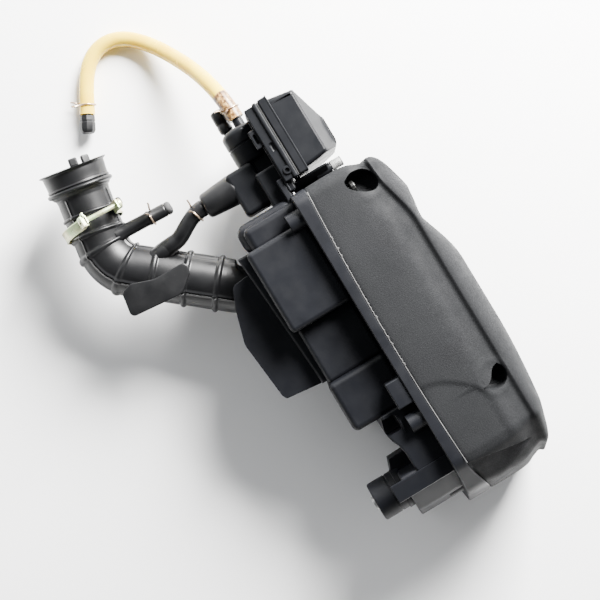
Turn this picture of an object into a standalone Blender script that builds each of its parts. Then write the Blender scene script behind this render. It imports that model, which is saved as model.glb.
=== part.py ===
"""Air filter housing of a small scooter engine, lying on its long side.

Lengths are in millimetres until mm() turns them into metres. X runs along the box, Y from the
moulded rear case towards the cover, and Z up from the side the housing lies on. The drawing's
zero is on the parting plane; the root empty moves it to the middle of the housing's footprint.
"""
import math

import bmesh
import bpy
from mathutils import Matrix, Vector

NAME = "air_filter_housing"
GAP = 0.3                       # clearance between neighbouring pieces
WALL = 2.6                      # moulded wall thickness
FLANGE_DEPTH = 11.0             # case flange, along Y
TRAY_INSET = 8.5                # width of the flange's front face
TRAY_FLOOR = -8.0               # y of the floor inside the flange
SEAL_INSET = 3.2                # seal groove, in from the rim
FOOTPRINT_CENTRE = (-60.34, -49.43)

# Rim outline seen from the front (X, Z), with the slanted end at +X.
RIM_CORNERS = [(-143, 131), (103, 131), (131, 104), (149, 50), (147, 0), (-139, 0), (-148, 40)]
RIM_RADII = [11, 16, 26, 22, 10, 12, 30]
CORNER_STEPS = 3
SIDE_PIECES = [5, 1, 1, 1, 6, 1, 1]     # straight pieces on the side after each corner
COVER_MID_Z = 65.0
COVER_RIDGE_Y = 66.0
CROWN_EXTRA = 2.4               # the cover is this much thicker at its crown
SPINE_X = (-84.0, 88.0)         # the dome closes on this line

SCREWS = [(-125, 120), (57, 121), (124, 80), (118, 10.8), (15, 10.8), (-119, 10.8)]
SCREW_SEAT_Y = 34.0
MOUTH = Vector((-264.4, -150.9, 57.0))
MOUTH_DIRECTION = Vector((0.9848, -0.1736, 0.0))
PORT = Vector((-97.0, -71.3, 52.0))
EAR_X, EAR_Z = 104.0, 78.0
EAR_BACK_Y, EAR_FRONT_Y = -77.0, -48.0
NIPPLE = Vector((-227.0, -12.3, 62.0))
STUD_X = -150.65
STRAP_SCREW = (-156.0, 97.5)    # x, z
STUB_END = Vector((-193.0, -101.5, 61.0))
STUB_WAY = Vector((0.0533, 0.9986, 0.0))
DUCT_X, DUCT_Z = -176.5, 72.0
DUCT_END_Y = -73.0

# Free route of the amber hose, from its nipple down to the table and round to its plug.
HOSE_RADIUS = 6.8
HOSE_ROUTE = [
    (-227.3, -12.3, 62.0), (-236, -12.6, 61.7), (-245, -13.3, 60.0), (-255, -14.5, 56.5),
    (-265, -16.2, 51.5), (-275, -18.4, 45.5), (-285, -21.2, 38.8), (-295, -24.6, 31.8),
    (-305, -28.6, 24.8), (-315, -33.2, 18.6), (-325, -38.6, 13.6), (-334.5, -45.0, 10.0),
    (-343, -52.6, 7.9), (-349.4, -61.5, 7.1), (-352.6, -71.2, 7.0), (-352.4, -81.2, 7.0),
    (-348.8, -90.6, 7.1), (-342.4, -98.6, 7.4), (-334.2, -105.2, 7.9), (-325.2, -110.8, 8.5),
    (-316.0, -115.9, 8.9), (-306.8, -120.9, 9.0),
]


def mm(value):
    return value * 0.001


def vec(x, y, z):
    return Vector((mm(x), mm(y), mm(z)))


# ---------------------------------------------------------------- scene and materials
for old in list(bpy.data.objects):
    bpy.data.objects.remove(old, do_unlink=True)

parts = bpy.data.collections.new(NAME)
cutters = bpy.data.collections.new("cutters")
bpy.context.scene.collection.children.link(parts)
bpy.context.scene.collection.children.link(cutters)
root = bpy.data.objects.new(NAME + "_root", None)
parts.objects.link(root)
root.location = vec(-FOOTPRINT_CENTRE[0], -FOOTPRINT_CENTRE[1], 0)


def material(name, colour, roughness, metallic=0.0):
    made = bpy.data.materials.new(name)
    made.use_nodes = True
    shader = made.node_tree.nodes["Principled BSDF"]
    shader.inputs["Base Color"].default_value = (*colour, 1.0)
    shader.inputs["Roughness"].default_value = roughness
    shader.inputs["Metallic"].default_value = metallic
    return made


CASE = material("case_plastic", (0.018, 0.020, 0.024), 0.42)
COVER = material("cover_plastic", (0.085, 0.088, 0.092), 0.75)
RUBBER = material("black_rubber", (0.012, 0.012, 0.013), 0.5)
SEAL = material("seal_rubber", (0.02, 0.02, 0.02), 0.8)
ZINC = material("yellow_zinc", (0.72, 0.66, 0.42), 0.3, 1.0)
STEEL = material("steel", (0.6, 0.6, 0.6), 0.3, 1.0)
BLACK_ZINC = material("black_zinc", (0.05, 0.05, 0.05), 0.4, 1.0)
WIRE = material("spring_wire", (0.45, 0.33, 0.24), 0.3, 1.0)
AMBER = material("amber_vinyl", (0.85, 0.72, 0.42), 0.3)
FOAM = material("filter_foam", (0.12, 0.13, 0.16), 0.95)
CHAMBER = material("breather_plastic", (0.024, 0.025, 0.028), 0.4)


# ---------------------------------------------------------------- shapes
def finish(name, mesh, finish_material, cutter=False):
    made = bpy.data.objects.new(name, mesh)
    if cutter:
        cutters.objects.link(made)
        made.hide_render = True
        made.display_type = "WIRE"
    else:
        parts.objects.link(made)
        mesh.materials.append(finish_material)
        mesh.shade_smooth()
        mesh.set_sharp_from_angle(angle=math.radians(35))
    made.parent = root
    return made


def mesh_from(bm, name):
    bmesh.ops.recalc_face_normals(bm, faces=bm.faces)
    mesh = bpy.data.meshes.new(name)
    bm.to_mesh(mesh)
    bm.free()
    return mesh


def box(name, low, high, look=None, bevel=0.0, segments=1):
    """A block between two corners, its edges rounded by bevel."""
    bm = bmesh.new()
    bmesh.ops.create_cube(bm, size=1.0)
    size = vec(*high) - vec(*low)
    bmesh.ops.scale(bm, vec=size, verts=bm.verts)
    bmesh.ops.translate(bm, vec=(vec(*high) + vec(*low)) / 2, verts=bm.verts)
    if bevel:
        bmesh.ops.bevel(bm, geom=bm.edges, offset=mm(bevel), segments=segments, profile=0.5,
                        affect="EDGES", clamp_overlap=True)
    return finish(name, mesh_from(bm, name), look, cutter=look is None)


def rod(name, start, end, radius, look=None, end_radius=None, sides=16, bevel=0.0):
    """A cylinder or cone from start to end."""
    start, end = vec(*start), vec(*end)
    along = end - start
    bm = bmesh.new()
    bmesh.ops.create_cone(bm, cap_ends=True, segments=sides, radius1=mm(radius),
                          radius2=mm(end_radius or radius), depth=along.length)
    if bevel:
        rings = [edge for edge in bm.edges if abs(edge.verts[0].co.z - edge.verts[1].co.z) < 1e-6]
        bmesh.ops.bevel(bm, geom=rings, offset=mm(bevel), segments=2, profile=0.5, affect="EDGES")
    turn = Vector((0, 0, 1)).rotation_difference(along).to_matrix().to_4x4()
    bmesh.ops.transform(bm, matrix=Matrix.Translation((start + end) / 2) @ turn, verts=bm.verts)
    return finish(name, mesh_from(bm, name), look, cutter=look is None)


def loft(name, loops, look=None, ring=False):
    """Skin closed loops of equally many points; ring joins the last loop to the first."""
    bm = bmesh.new()
    rows = [[bm.verts.new(vec(*point)) for point in loop] for loop in loops]
    pairs = list(zip(rows, rows[1:]))
    if ring:
        pairs.append((rows[-1], rows[0]))
    for first, second in pairs:
        for i in range(len(first)):
            j = (i + 1) % len(first)
            bm.faces.new((first[i], first[j], second[j], second[i]))
    if not ring:
        for row in (rows[0], rows[-1]):
            edges = [bm.edges.get((row[i - 1], row[i])) for i in range(len(row))]
            bmesh.ops.triangle_fill(bm, edges=edges, use_beauty=True, normal=(0, 1, 0))
    bmesh.ops.triangulate(bm, faces=bm.faces)
    return finish(name, mesh_from(bm, name), look, cutter=look is None)


def mesh_of_curve(curve, name):
    holder = bpy.data.objects.new(name + "_curve", curve)
    bpy.context.scene.collection.objects.link(holder)
    bpy.context.view_layer.update()
    mesh = bpy.data.meshes.new_from_object(holder.evaluated_get(bpy.context.evaluated_depsgraph_get()))
    bpy.data.objects.remove(holder, do_unlink=True)
    bm = bmesh.new()
    bm.from_mesh(mesh)
    bmesh.ops.remove_doubles(bm, verts=bm.verts, dist=1e-6)
    return mesh_from(bm, name)


def plate(name, outline, thickness, place, look=None):
    """A flat outline, its thickness split either side of its plane, set in place by a matrix."""
    curve = bpy.data.curves.new(name, "CURVE")
    curve.dimensions = "2D"
    curve.fill_mode = "BOTH"
    curve.extrude = mm(thickness) / 2
    spline = curve.splines.new("POLY")
    spline.points.add(len(outline) - 1)
    for point, (x, y) in zip(spline.points, outline):
        point.co = (mm(x), mm(y), 0.0, 1.0)
    spline.use_cyclic_u = True
    mesh = mesh_of_curve(curve, name)
    mesh.transform(place)
    return finish(name, mesh, look, cutter=look is None)


def tube(name, route, radius, look, resolution=2):
    """A round bar along a route of points, with closed ends."""
    curve = bpy.data.curves.new(name, "CURVE")
    curve.dimensions = "3D"
    curve.bevel_depth = mm(radius)
    curve.bevel_resolution = resolution
    curve.use_fill_caps = True
    spline = curve.splines.new("POLY")
    spline.points.add(len(route) - 1)
    for point, place in zip(spline.points, route):
        point.co = (*vec(*place), 1.0)
    return finish(name, mesh_of_curve(curve, name), look)


def boolean(target, operation, tools):
    """Join or cut the target with all the tools in one step."""
    group = bpy.data.collections.new(f"{target.name}_{operation.lower()}")
    cutters.children.link(group)
    for tool in tools:
        cutters.objects.unlink(tool)
        group.objects.link(tool)
    step = target.modifiers.new(operation.lower(), "BOOLEAN")
    step.operation = operation
    step.operand_type = "COLLECTION"
    step.collection = group
    step.solver = "MANIFOLD"
    return target


def rounded(corners, radii, steps):
    """Corners turned into arcs of steps + 1 points each."""
    points = []
    for i, (corner, radius) in enumerate(zip(corners, radii)):
        here = Vector(corner)
        back = (Vector(corners[i - 1]) - here).normalized()
        onward = (Vector(corners[(i + 1) % len(corners)]) - here).normalized()
        half = back.angle(onward) / 2
        reach = radius / math.tan(half)
        centre = here + (back + onward).normalized() * radius / math.sin(half)
        first, last = here + back * reach - centre, here + onward * reach - centre
        sweep = first.angle_signed(last)
        for step in range(steps + 1):
            turn = Matrix.Rotation(-sweep * step / steps, 2)
            points.append(tuple(centre + turn @ first))
    return points


def inset_corners(corners, distance):
    """Every side of the outline moved inward by distance."""
    moved = []
    for i, corner in enumerate(corners):
        here = Vector(corner)
        before = (here - Vector(corners[i - 1])).normalized()
        after = (Vector(corners[(i + 1) % len(corners)]) - here).normalized()
        inward_before = Vector((before.y, -before.x))
        inward_after = Vector((after.y, -after.x))
        share = distance / (1 + inward_before.dot(inward_after))
        moved.append(tuple(here + (inward_before + inward_after) * share))
    return moved


def parting(x):
    """The parting line bows back in the middle and runs forward at the slanted end."""
    bow = -2.0 + 5.0 * (x / 145) ** 2
    rise = min(1.0, max(0.0, (x - 103) / 44))
    return bow + 8.0 * rise * rise * (3 - 2 * rise)


def rim(inset, y, steps=CORNER_STEPS, follow=1.0):
    """The rim outline, moved in by inset, at depth y from the parting line."""
    corners = inset_corners(RIM_CORNERS, inset)
    outline = rounded(corners, [max(2.5, radius - inset) for radius in RIM_RADII], steps)
    points = []
    for i, pieces in enumerate(SIDE_PIECES):
        arc = outline[i * (steps + 1):(i + 1) * (steps + 1)]
        last, following = Vector(arc[-1]), Vector(outline[(i + 1) * (steps + 1) % len(outline)])
        points += arc + [tuple(last.lerp(following, step / pieces)) for step in range(1, pieces)]
    return [(x, y + follow * parting(x), z) for x, z in points]


# ---------------------------------------------------------------- rear case
def case_blocks():
    """The stepped boxes behind the flange, and the hollow inside each of them."""
    back = TRAY_FLOOR - 1
    layout = [                   # x0, x1, rear y, top z, bevel, floor
        (-122.8, -50.0, -63.6, 120.0, 4.0, 3.6),
        (-52.0, -0.6, -59.4, 108.0, 4.0, 3.9),
        (-1.6, 42.5, -61.6, 112.0, 4.5, 4.2),
        (41.0, 104.0, -37.5, 118.0, 3.0, 4.5),
        (-146.0, -121.0, -62.0, 104.0, 8.0, 10.0),
    ]
    solids, hollows = [], []
    for i, (x0, x1, y0, top, bevel, floor) in enumerate(layout):
        solids.append(box(f"block_{i}", (x0, y0, 0.0), (x1, back, top), None, bevel, 2))
        inner = WALL + 0.17 * i
        hollows.append(box(f"hollow_{i}", (x0 + inner, y0 + inner, floor),
                           (x1 - inner, back + 2, min(top - inner, 117.0 - 0.2 * i)), None, 2.0, 1))
    solids.append(box("ledge", (-124.0, -71.0, 2.0), (-3.6, -58.0, 98.0), None, 3.0, 2))
    hollows.append(box("ledge_hollow", (-121.0, -68.3, 5.0), (-6.5, -50.0, 95.2), None, 2.0, 1))
    for i in range(3):           # doorways through the walls between neighbouring blocks
        wall_x = (-51.0, -1.1, 41.8)[i]
        depth = (-56.0, -56.5, -34.0)[i]
        hollows.append(box(f"doorway_{i}", (wall_x - 8, depth, 6.5), (wall_x + 8, -1.5, 103 + i), None))
    return solids, hollows


def end_wall():
    """The slanted wall at +X that carries the mounting ear."""
    profile = [(90, 117.5), (106, 115), (124, 97), (136, 60), (141, 8), (90, 8)]
    place = Matrix.Translation(vec(0, -27.5, 0)) @ Matrix.Rotation(math.radians(90), 4, "X")
    outer = plate("end_wall", rounded(profile, [3, 5, 9, 12, 5, 3], 2), 45, place)
    inner = [(93, 113), (104, 111.5), (120.5, 95.5), (132.5, 59), (137, 12), (93, 12)]
    place = Matrix.Translation(vec(0, -22, 0)) @ Matrix.Rotation(math.radians(90), 4, "X")
    hollow = plate("end_hollow", rounded(inner, [3, 4, 7, 9, 4, 3], 2), 50, place)
    return outer, hollow


def rear_case():
    solids, hollows = case_blocks()
    wall, wall_hollow = end_wall()
    solids.append(wall)
    hollows.append(wall_hollow)
    case = loft("rear_case", [rim(0, -FLANGE_DEPTH - 1.6, follow=0.0), rim(0, -GAP / 2),
                              rim(TRAY_INSET, -GAP / 2), rim(TRAY_INSET, TRAY_FLOOR, follow=0.0)], CASE)
    ear = rod("ear", (EAR_X, EAR_BACK_Y, EAR_Z), (EAR_X, EAR_FRONT_Y, EAR_Z), 16.5, None, sides=24, bevel=1.2)
    gusset = box("gusset", (78.0, -58.0, 60.0), (100.0, -36.0, 82.0), None, 2.0)
    lug = box("clip_lug", (19.9, -24.0, 104.0), (42.8, -9.0, 124.0), None, 2.0, 2)
    boss_a = rod("boss_a", (-133, -22, 60.0), (-133, -22, 124.0), 8.5, None, sides=20, bevel=2.0)
    strap_lug = box("strap_lug", (-161.5, -12.4, 92.6), (-140.0, -7.0, 102.5), None, 1.0)
    boss_b = rod("boss_b", (54.0, -44.0, 96.0), (54.0, -8.0, 96.0), 8.5, None, sides=20)
    boolean(case, "UNION", solids + [ear, gusset, lug, boss_a, boss_b, strap_lug])
    groove = loft("seal_groove", [rim(SEAL_INSET, -3.4), rim(SEAL_INSET, 6),
                                  rim(SEAL_INSET + 3.6, 6), rim(SEAL_INSET + 3.6, -3.4)], ring=True)
    boolean(case, "DIFFERENCE", [groove] + hollows)
    posts = []
    for i, (x, z) in enumerate(SCREWS):
        posts.append(rod(f"pilot_post_{i}", (x, -22.0, z), (x, -6.0, z), 7.6, None, sides=10))
    pilots = [rod(f"pilot_{i}", (x, -17.0, z), (x, 20.0, z), 2.6, None, sides=8)
              for i, (x, z) in enumerate(SCREWS)]
    boolean(case, "UNION", posts)
    ear_bore = rod("ear_bore", (EAR_X, -90, EAR_Z), (EAR_X, -50.5, EAR_Z), 11.0, None, sides=24)
    port = rod("hose_port", (PORT.x, -75, PORT.z), (PORT.x, -60, PORT.z), 18.5, None, sides=24)
    strap_pilot = rod("strap_pilot", (STRAP_SCREW[0], -11.5, STRAP_SCREW[1]),
                      (STRAP_SCREW[0], 0.0, STRAP_SCREW[1]), 1.9, None, sides=10)
    slot = box("snorkel_slot", (-86.0, -76.0, 81.0), (-22.0, -60.0, 88.5), None)
    notch = box("boss_notch", (46.0, -50.0, 104.6), (62.0, -27.5, 130.0), None)
    boolean(case, "DIFFERENCE", pilots + [ear_bore, port, slot, notch, strap_pilot])
    return case


# ---------------------------------------------------------------- cover and its seal
def dome_height(x):
    lift = min(1.0, max(0.0, (x + 76) / 46)) * min(1.0, max(0.0, (140 - x) / 120))
    return 8.0 + 13.0 * math.sin(lift * math.pi / 2)


def dome(rim_points, share, thickness):
    """The rim pulled in towards the spine line while it rises, share from 0 to 1."""
    turn = share * math.pi / 2
    pull = 1 - math.cos(turn)
    points = []
    for x, _, z in rim_points:
        spine = min(max(x, SPINE_X[0]), SPINE_X[1])
        px, pz = x + (spine - x) * pull, z + (COVER_MID_Z - z) * pull
        points.append((px, COVER_RIDGE_Y - thickness + dome_height(px) * math.sin(turn), pz))
    return points


def front_cover():
    skirt = [(GAP / 2, 0.8), (24, 0.0), (45, 1.0), (53, 4.6), (61, 5.2), (66, 3.8)]
    shares = (0.2, 0.42, 0.64, 0.84, 0.96)
    outer = [rim(inset, y, follow=1 - y / COVER_RIDGE_Y) for y, inset in skirt]
    outer += [dome(outer[-1], share, 0) for share in shares]
    inner = [rim(inset + WALL, y - (WALL if y > 60 else 0), follow=1 - y / COVER_RIDGE_Y)
             for y, inset in skirt]
    inner += [dome(inner[-1], share, WALL + CROWN_EXTRA * share) for share in shares]
    cover = loft("front_cover", inner[::-1] + outer, COVER)
    wells = []
    holes = []
    posts = []
    for i, (x, z) in enumerate(SCREWS):
        inward = 1 if z < COVER_MID_Z else -1
        wells.append(rod(f"well_wall_{i}", (x, SCREW_SEAT_Y - 3, z), (x, 62.0, z), 9.2, None, sides=14))
        posts.append(rod(f"post_{i}", (x, parting(x) + 4.0, z), (x, SCREW_SEAT_Y - 1, z), 5.6, None, sides=8))
        holes.append(rod(f"well_{i}", (x, SCREW_SEAT_Y, z + 0.4 * inward), (x, 100, z + 0.4 * inward),
                         7.4, None, sides=14))
        holes.append(rod(f"screw_hole_{i}", (x, -5, z), (x, 50, z), 2.9, None, sides=8))
    boolean(cover, "UNION", wells + posts)
    pockets = [
        rod("pocket_0", (-125.6, 36.5, 122.5), (-125.6, 53, 122.5), 12.6, None, sides=20),
        rod("pocket_1", (57.5, 43.5, 123.5), (57.5, 60, 123.5), 9.6, None, sides=20),
    ]
    boolean(cover, "DIFFERENCE", holes + pockets)
    return cover


def cover_seal():
    low, high = SEAL_INSET + GAP, SEAL_INSET + 3.6 - GAP
    return loft("cover_seal", [rim(low, -3.1), rim(low, -GAP), rim(high, -GAP), rim(high, -3.1)],
                SEAL, ring=True)


def cover_screw(index, x, z):
    name = f"cover_screw_{index + 1}"
    screw = rod(name, (x, -14.0, z), (x, SCREW_SEAT_Y + 2, z), 2.2, BLACK_ZINC, sides=10)
    head = rod(f"head_{index}", (x, SCREW_SEAT_Y + GAP, z), (x, SCREW_SEAT_Y + 4.2, z), 5.0, None,
               sides=14, bevel=0.8)
    cross = [box(f"cross_{index}_{way}", (x - a, SCREW_SEAT_Y + 2.4, z - b),
                 (x + a, SCREW_SEAT_Y + 8, z + b)) for way, (a, b) in enumerate([(2.6, 0.5), (0.5, 2.6)])]
    boolean(screw, "UNION", [head])
    return boolean(screw, "DIFFERENCE", cross)


# ---------------------------------------------------------------- filter
FILTER_LOW, FILTER_HIGH = (-112.0, 22.0), (88.0, 108.0)


def filter_frame():
    (x0, z0), (x1, z1) = FILTER_LOW, FILTER_HIGH
    frame = box("filter_frame", (x0, -4.8, z0), (x1, -1.8, z1), CHAMBER, 0.8)
    columns, rows, bar = 5, 3, 4.0
    wide, tall = (x1 - x0 - 2 * bar) / columns, (z1 - z0 - 2 * bar) / rows
    windows = []
    for i in range(columns):
        for j in range(rows):
            corner = (x0 + bar + i * wide + bar / 2, z0 + bar + j * tall + bar / 2)
            windows.append(box(f"window_{i}_{j}", (corner[0], -8, corner[1]),
                               (corner[0] + wide - bar, 3, corner[1] + tall - bar)))
    return boolean(frame, "DIFFERENCE", windows)


def filter_element():
    (x0, z0), (x1, z1) = FILTER_LOW, FILTER_HIGH
    return box("filter_element", (x0 + 2, -1.5, z0 + 2), (x1 - 2, 16.5, z1 - 2), FOAM, 3.0, 2)


# ---------------------------------------------------------------- snorkel
def intake_snorkel():
    outline = [(-109, -71.3), (-109, -75), (-107.6, -86), (-90, -93.6), (-62, -101.8), (-11.7, -97),
               (-7.6, -95), (-2.8, -71.3)]
    low, high = 78.0, 92.0
    middle = Matrix.Translation(vec(0, 0, (low + high) / 2))
    duct = plate("intake_snorkel", rounded(outline, [0.5, 2, 5, 12, 12, 2.5, 2.5, 0.5], 2), high - low,
                 middle, CASE)
    inner = [(-84, -60), (-84, -120), (-24, -120), (-24, -60)]
    mouth = plate("snorkel_mouth", inner, high - low - 4.4, middle)
    return boolean(duct, "DIFFERENCE", [mouth])


# ---------------------------------------------------------------- intake hose and its clamp
def hose_route():
    """Centre and direction of each station: straight, elbow, straight, then square to the case."""
    corner = Vector((-176.0, -166.5, 51.0))
    into = (PORT - corner)
    into.z = 0
    into.normalize()
    entry = corner - MOUTH_DIRECTION * 31
    leave = corner + into * 31
    stations = [(MOUTH + MOUTH_DIRECTION * s, MOUTH_DIRECTION) for s in (0, 3, 17, 19, 21.5, 24, 50, 57)]
    for i in range(7):
        t = i / 6
        point = entry * (1 - t) ** 2 + corner * 2 * t * (1 - t) + leave * t * t
        heading = (corner - entry) * (1 - t) + (leave - corner) * t
        stations.append((point, heading.normalized()))
    final = Vector((0, 1, 0))
    for distance, swing in ((26, 0.0), (17, 0.33), (9, 0.67), (0, 1.0)):
        stations.append((PORT - into * distance, into.lerp(final, swing).normalized()))
    return stations


def ring_points(centre, direction, radius, sides=16):
    side = direction.cross(Vector((0, 0, 1))).normalized()
    up = side.cross(direction)
    return [tuple(centre + (side * math.cos(a) + up * math.sin(a)) * radius)
            for a in (2 * math.pi * i / sides for i in range(sides))]


def stub_point(distance):
    """A place on the side stub's axis, measured outward from its end."""
    return tuple(STUB_END + STUB_WAY * distance)


def intake_hose():
    stations = hose_route()
    outer = [29.5, 27.0, 26.6, 28.6, 28.6, 23.2, 22.6, 22.6] + [22.8] * (len(stations) - 10) + [24.0, 24.0]
    loops = [ring_points(place, way, size) for (place, way), size in zip(stations, outer)]
    bores = [24.0, 24.0, 23.8, 23.0, 21.0, 20.0] + [19.6] * (len(stations) - 8) + [18.5, 18.5]
    loops += [ring_points(place, way, size) for (place, way), size in zip(stations, bores)][::-1]
    hose = loft("intake_hose", loops, RUBBER, ring=True)
    stub = rod("stub", stub_point(-45), stub_point(0), 5.7, None, sides=14)
    spigot = rod("spigot", (-162.0, -134.0, 61), (-164.4, -113.0, 66.0), 7.4, None, sides=14)
    flap = plate("flap", [(-129, -172), (-152, -168), (-152, -147), (-142, -128), (-128, -124), (-128, -140)],
                 3.0, Matrix.Translation(vec(0, 0, 72.0)))
    boolean(hose, "UNION", [stub, spigot, flap])
    bore = rod("stub_bore", stub_point(-25), stub_point(10), 3.4, None, sides=12)
    return boolean(hose, "DIFFERENCE", [bore])


CLAMP_CENTRE = MOUTH + MOUTH_DIRECTION * 50.5 + Vector((0, -0.8, 0))
CLAMP_INNER, CLAMP_OUTER = 25.9, 27.0
CLAMP_EAR = 15.0                # each ear's distance from the middle of the gap
EAR_TOP = 37.0
CLAMP_SCREW_HEIGHT = 31.5


def clamp_frame():
    """Local X across the hose, local Y up, local Z along it; the clamp sits a little askew."""
    axes = Matrix(((0, 0, 1), (1, 0, 0), (0, 1, 0))).to_4x4()
    return Matrix.Translation(CLAMP_CENTRE * 0.001) @ axes @ Matrix.Rotation(math.radians(-25), 4, "Z")


def clamp_point(across, up, along=0.0):
    return tuple(clamp_frame() @ vec(across, up, along) * 1000)


def clamp_band():
    start = math.asin(CLAMP_EAR / CLAMP_OUTER)
    angles = [start + (2 * math.pi - 2 * start) * i / 30 for i in range(31)]
    outer = [(math.sin(a) * CLAMP_OUTER, math.cos(a) * CLAMP_OUTER) for a in angles]
    inner = [(math.sin(a) * CLAMP_INNER, math.cos(a) * CLAMP_INNER) for a in angles]
    right = [(CLAMP_EAR - 1.2, EAR_TOP), (CLAMP_EAR, EAR_TOP)]
    left = [(-CLAMP_EAR, EAR_TOP), (-CLAMP_EAR + 1.2, EAR_TOP)]
    band = plate("clamp_band", right + outer + left + inner[::-1], 9.0, clamp_frame(), ZINC)
    hole = rod("clamp_hole", clamp_point(-30, CLAMP_SCREW_HEIGHT), clamp_point(30, CLAMP_SCREW_HEIGHT),
               2.4, None, sides=12)
    return boolean(band, "DIFFERENCE", [hole])


def clamp_screw():
    tip, end = -CLAMP_EAR - 5.5, CLAMP_EAR + 2.0
    screw = rod("clamp_screw", clamp_point(tip, CLAMP_SCREW_HEIGHT), clamp_point(end, CLAMP_SCREW_HEIGHT),
                2.0, ZINC, sides=12)
    head = rod("clamp_head", clamp_point(CLAMP_EAR + GAP, CLAMP_SCREW_HEIGHT),
               clamp_point(CLAMP_EAR + 4.3, CLAMP_SCREW_HEIGHT), 4.2, None, sides=14, bevel=0.7)
    slot = rod("clamp_slot", clamp_point(CLAMP_EAR + 3, CLAMP_SCREW_HEIGHT),
               clamp_point(CLAMP_EAR + 8, CLAMP_SCREW_HEIGHT), 1.6, None, sides=4)
    boolean(screw, "UNION", [head])
    return boolean(screw, "DIFFERENCE", [slot])


def clamp_nut():
    spot = CLAMP_SCREW_HEIGHT
    nut = rod("clamp_nut", clamp_point(-CLAMP_EAR - GAP, spot), clamp_point(-CLAMP_EAR - 4.2, spot), 5.0,
              ZINC, sides=4)
    hole = rod("nut_hole", clamp_point(-CLAMP_EAR + 5, spot), clamp_point(-CLAMP_EAR - 12, spot), 2.4,
               None, sides=12)
    return boolean(nut, "DIFFERENCE", [hole])


def wire_clamp(name, centre, direction, radius, ear_way, wire=0.8, sides=18):
    """A ring of spring wire whose two ends cross and stand out as ears."""
    direction = Vector(direction).normalized()
    out = Vector(ear_way).normalized()
    side = direction.cross(out)
    points = []
    for i in range(sides + 1):
        angle = math.radians(24 + 312 * i / sides)
        lean = 1.6 * (i / sides - 0.5)
        points.append(Vector(centre) + (out * math.cos(angle) + side * math.sin(angle)) * radius
                      + direction * lean)
    first = points[0] + out * 7 - direction * 1.6 + side * 1.0
    last = points[-1] + out * 7 + direction * 1.6 - side * 1.0
    return tube(name, [tuple(p) for p in [first] + points + [last]], wire, WIRE, resolution=1)


def stub_plug():
    plug = rod("stub_plug", stub_point(-17), stub_point(3), 3.1, RUBBER, sides=12)
    cap = rod("stub_cap", stub_point(GAP), stub_point(4.5), 5.6, None, sides=14, bevel=0.8)
    return boolean(plug, "UNION", [cap])


def return_hose():
    route = [(DUCT_X, DUCT_END_Y - GAP, DUCT_Z), (-176.4, -78.5, 71.9), (-174.4, -86, 71.6),
             (-171.4, -92.5, 70.9), (-168.0, -98.8, 69.6), (-165.4, -105.0, 67.9),
             (-164.45, -112.6, 66.1)]
    return tube("return_hose", route, 6.3, RUBBER, resolution=3)


# ---------------------------------------------------------------- breather chamber
def breather_base():
    base = box("breather_base", (-221.6, -7.0, 32.0), (-160.0, 4.0, 106.0), CHAMBER, 3.0, 2)
    flange = box("base_flange", (-223.2, 1.8, 30.0), (-155.8, 5.6, 108.0), None, 1.2)
    lobe = rod("lobe", (-218.5, -17.0, 70.0), (-187.0, -17.0, 70.0), 15.5, None, sides=20, bevel=4.0)
    pod = box("pod", (-219.0, -30.0, 45.0), (-189.0, -4.0, 79.0), None, 8.0, 2)
    strap = box("mount_strap", (-214.0, -6.5, 84.0), (-148.2, -1.0, 102.0), None, 1.5)
    neck = box("neck", (-172.0, -42.0, 44.0), (-148.5, -5.0, 92.0), None, 3.0, 2)
    web = box("web", (-154.6, -5.0, 76.0), (-149.0, 27.0, 88.4), None, 1.5)
    post = rod("stud_post", (STUD_X, 18.0, 82.0), (STUD_X, 33.0, 82.0), 4.5, None, sides=14)
    nipple = rod("nipple", (-215, NIPPLE.y, NIPPLE.z), tuple(NIPPLE), 4.6, None, sides=14)
    second = rod("second_nipple", (-215, -24.0, 52.0), (-222.5, -24.0, 52.0), 4.2, None, sides=12)
    boolean(base, "UNION", [flange, lobe, pod, strap, neck, web, post, nipple, second])
    hollow = box("base_hollow", (-217.5, -4.2, 36.0), (-163.5, 12.0, 102.0), None)
    pod_hollow = box("pod_hollow", (-214.0, -25.0, 50.0), (-194.0, 0.0, 74.0), None, 4.0)
    neck_hollow = box("neck_hollow", (-169.0, -37.0, 48.0), (-164.5, 0.0, 88.0), None)
    stud_hole = rod("stud_hole", (STUD_X, 24.0, 82.0), (STUD_X, 40.0, 82.0), 3.3, None, sides=12)
    duct_hole = rod("duct_hole", (DUCT_X, -50.0, DUCT_Z), (DUCT_X, 0.0, DUCT_Z), 8.0, None, sides=16)
    x, z = STRAP_SCREW
    strap_hole = rod("strap_hole", (x, -20.0, z), (x, 20.0, z), 2.0, None, sides=10)
    return boolean(base, "DIFFERENCE", [hollow, pod_hollow, neck_hollow, stud_hole, duct_hole, strap_hole])


def breather_lid():
    lip = box("breather_lid", (-223.6, 7.0, 29.6), (-155.6, 15.5, 108.4), CHAMBER, 1.6, 2)
    profile = [(-221.6, 14.0), (-217.4, 36.5), (-187.0, 47.7), (-164.5, 46.9), (-161.8, 44.6), (-158.0, 14.0)]
    body = plate("lid_body", rounded(profile, [1, 3, 5, 3, 2, 1], 2), 75.0, Matrix.Translation(vec(0, 0, 69)))
    facet = box("lid_facet", (-240, -14, -20), (-140, 14, 20))
    facet.location = vec(0, 55.5, 111)
    facet.rotation_euler = (math.radians(-58), 0, 0)
    under = box("lid_under", (-240, -14, -20), (-140, 14, 20))
    under.location = vec(0, 55.5, 27)
    under.rotation_euler = (math.radians(58), 0, 0)
    hollow = box("lid_hollow", (-217.0, 2.0, 36.0), (-162.5, 34.0, 102.0), None, 2.0)
    boolean(lip, "UNION", [body])
    return boolean(lip, "DIFFERENCE", [facet, under, hollow])


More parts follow.
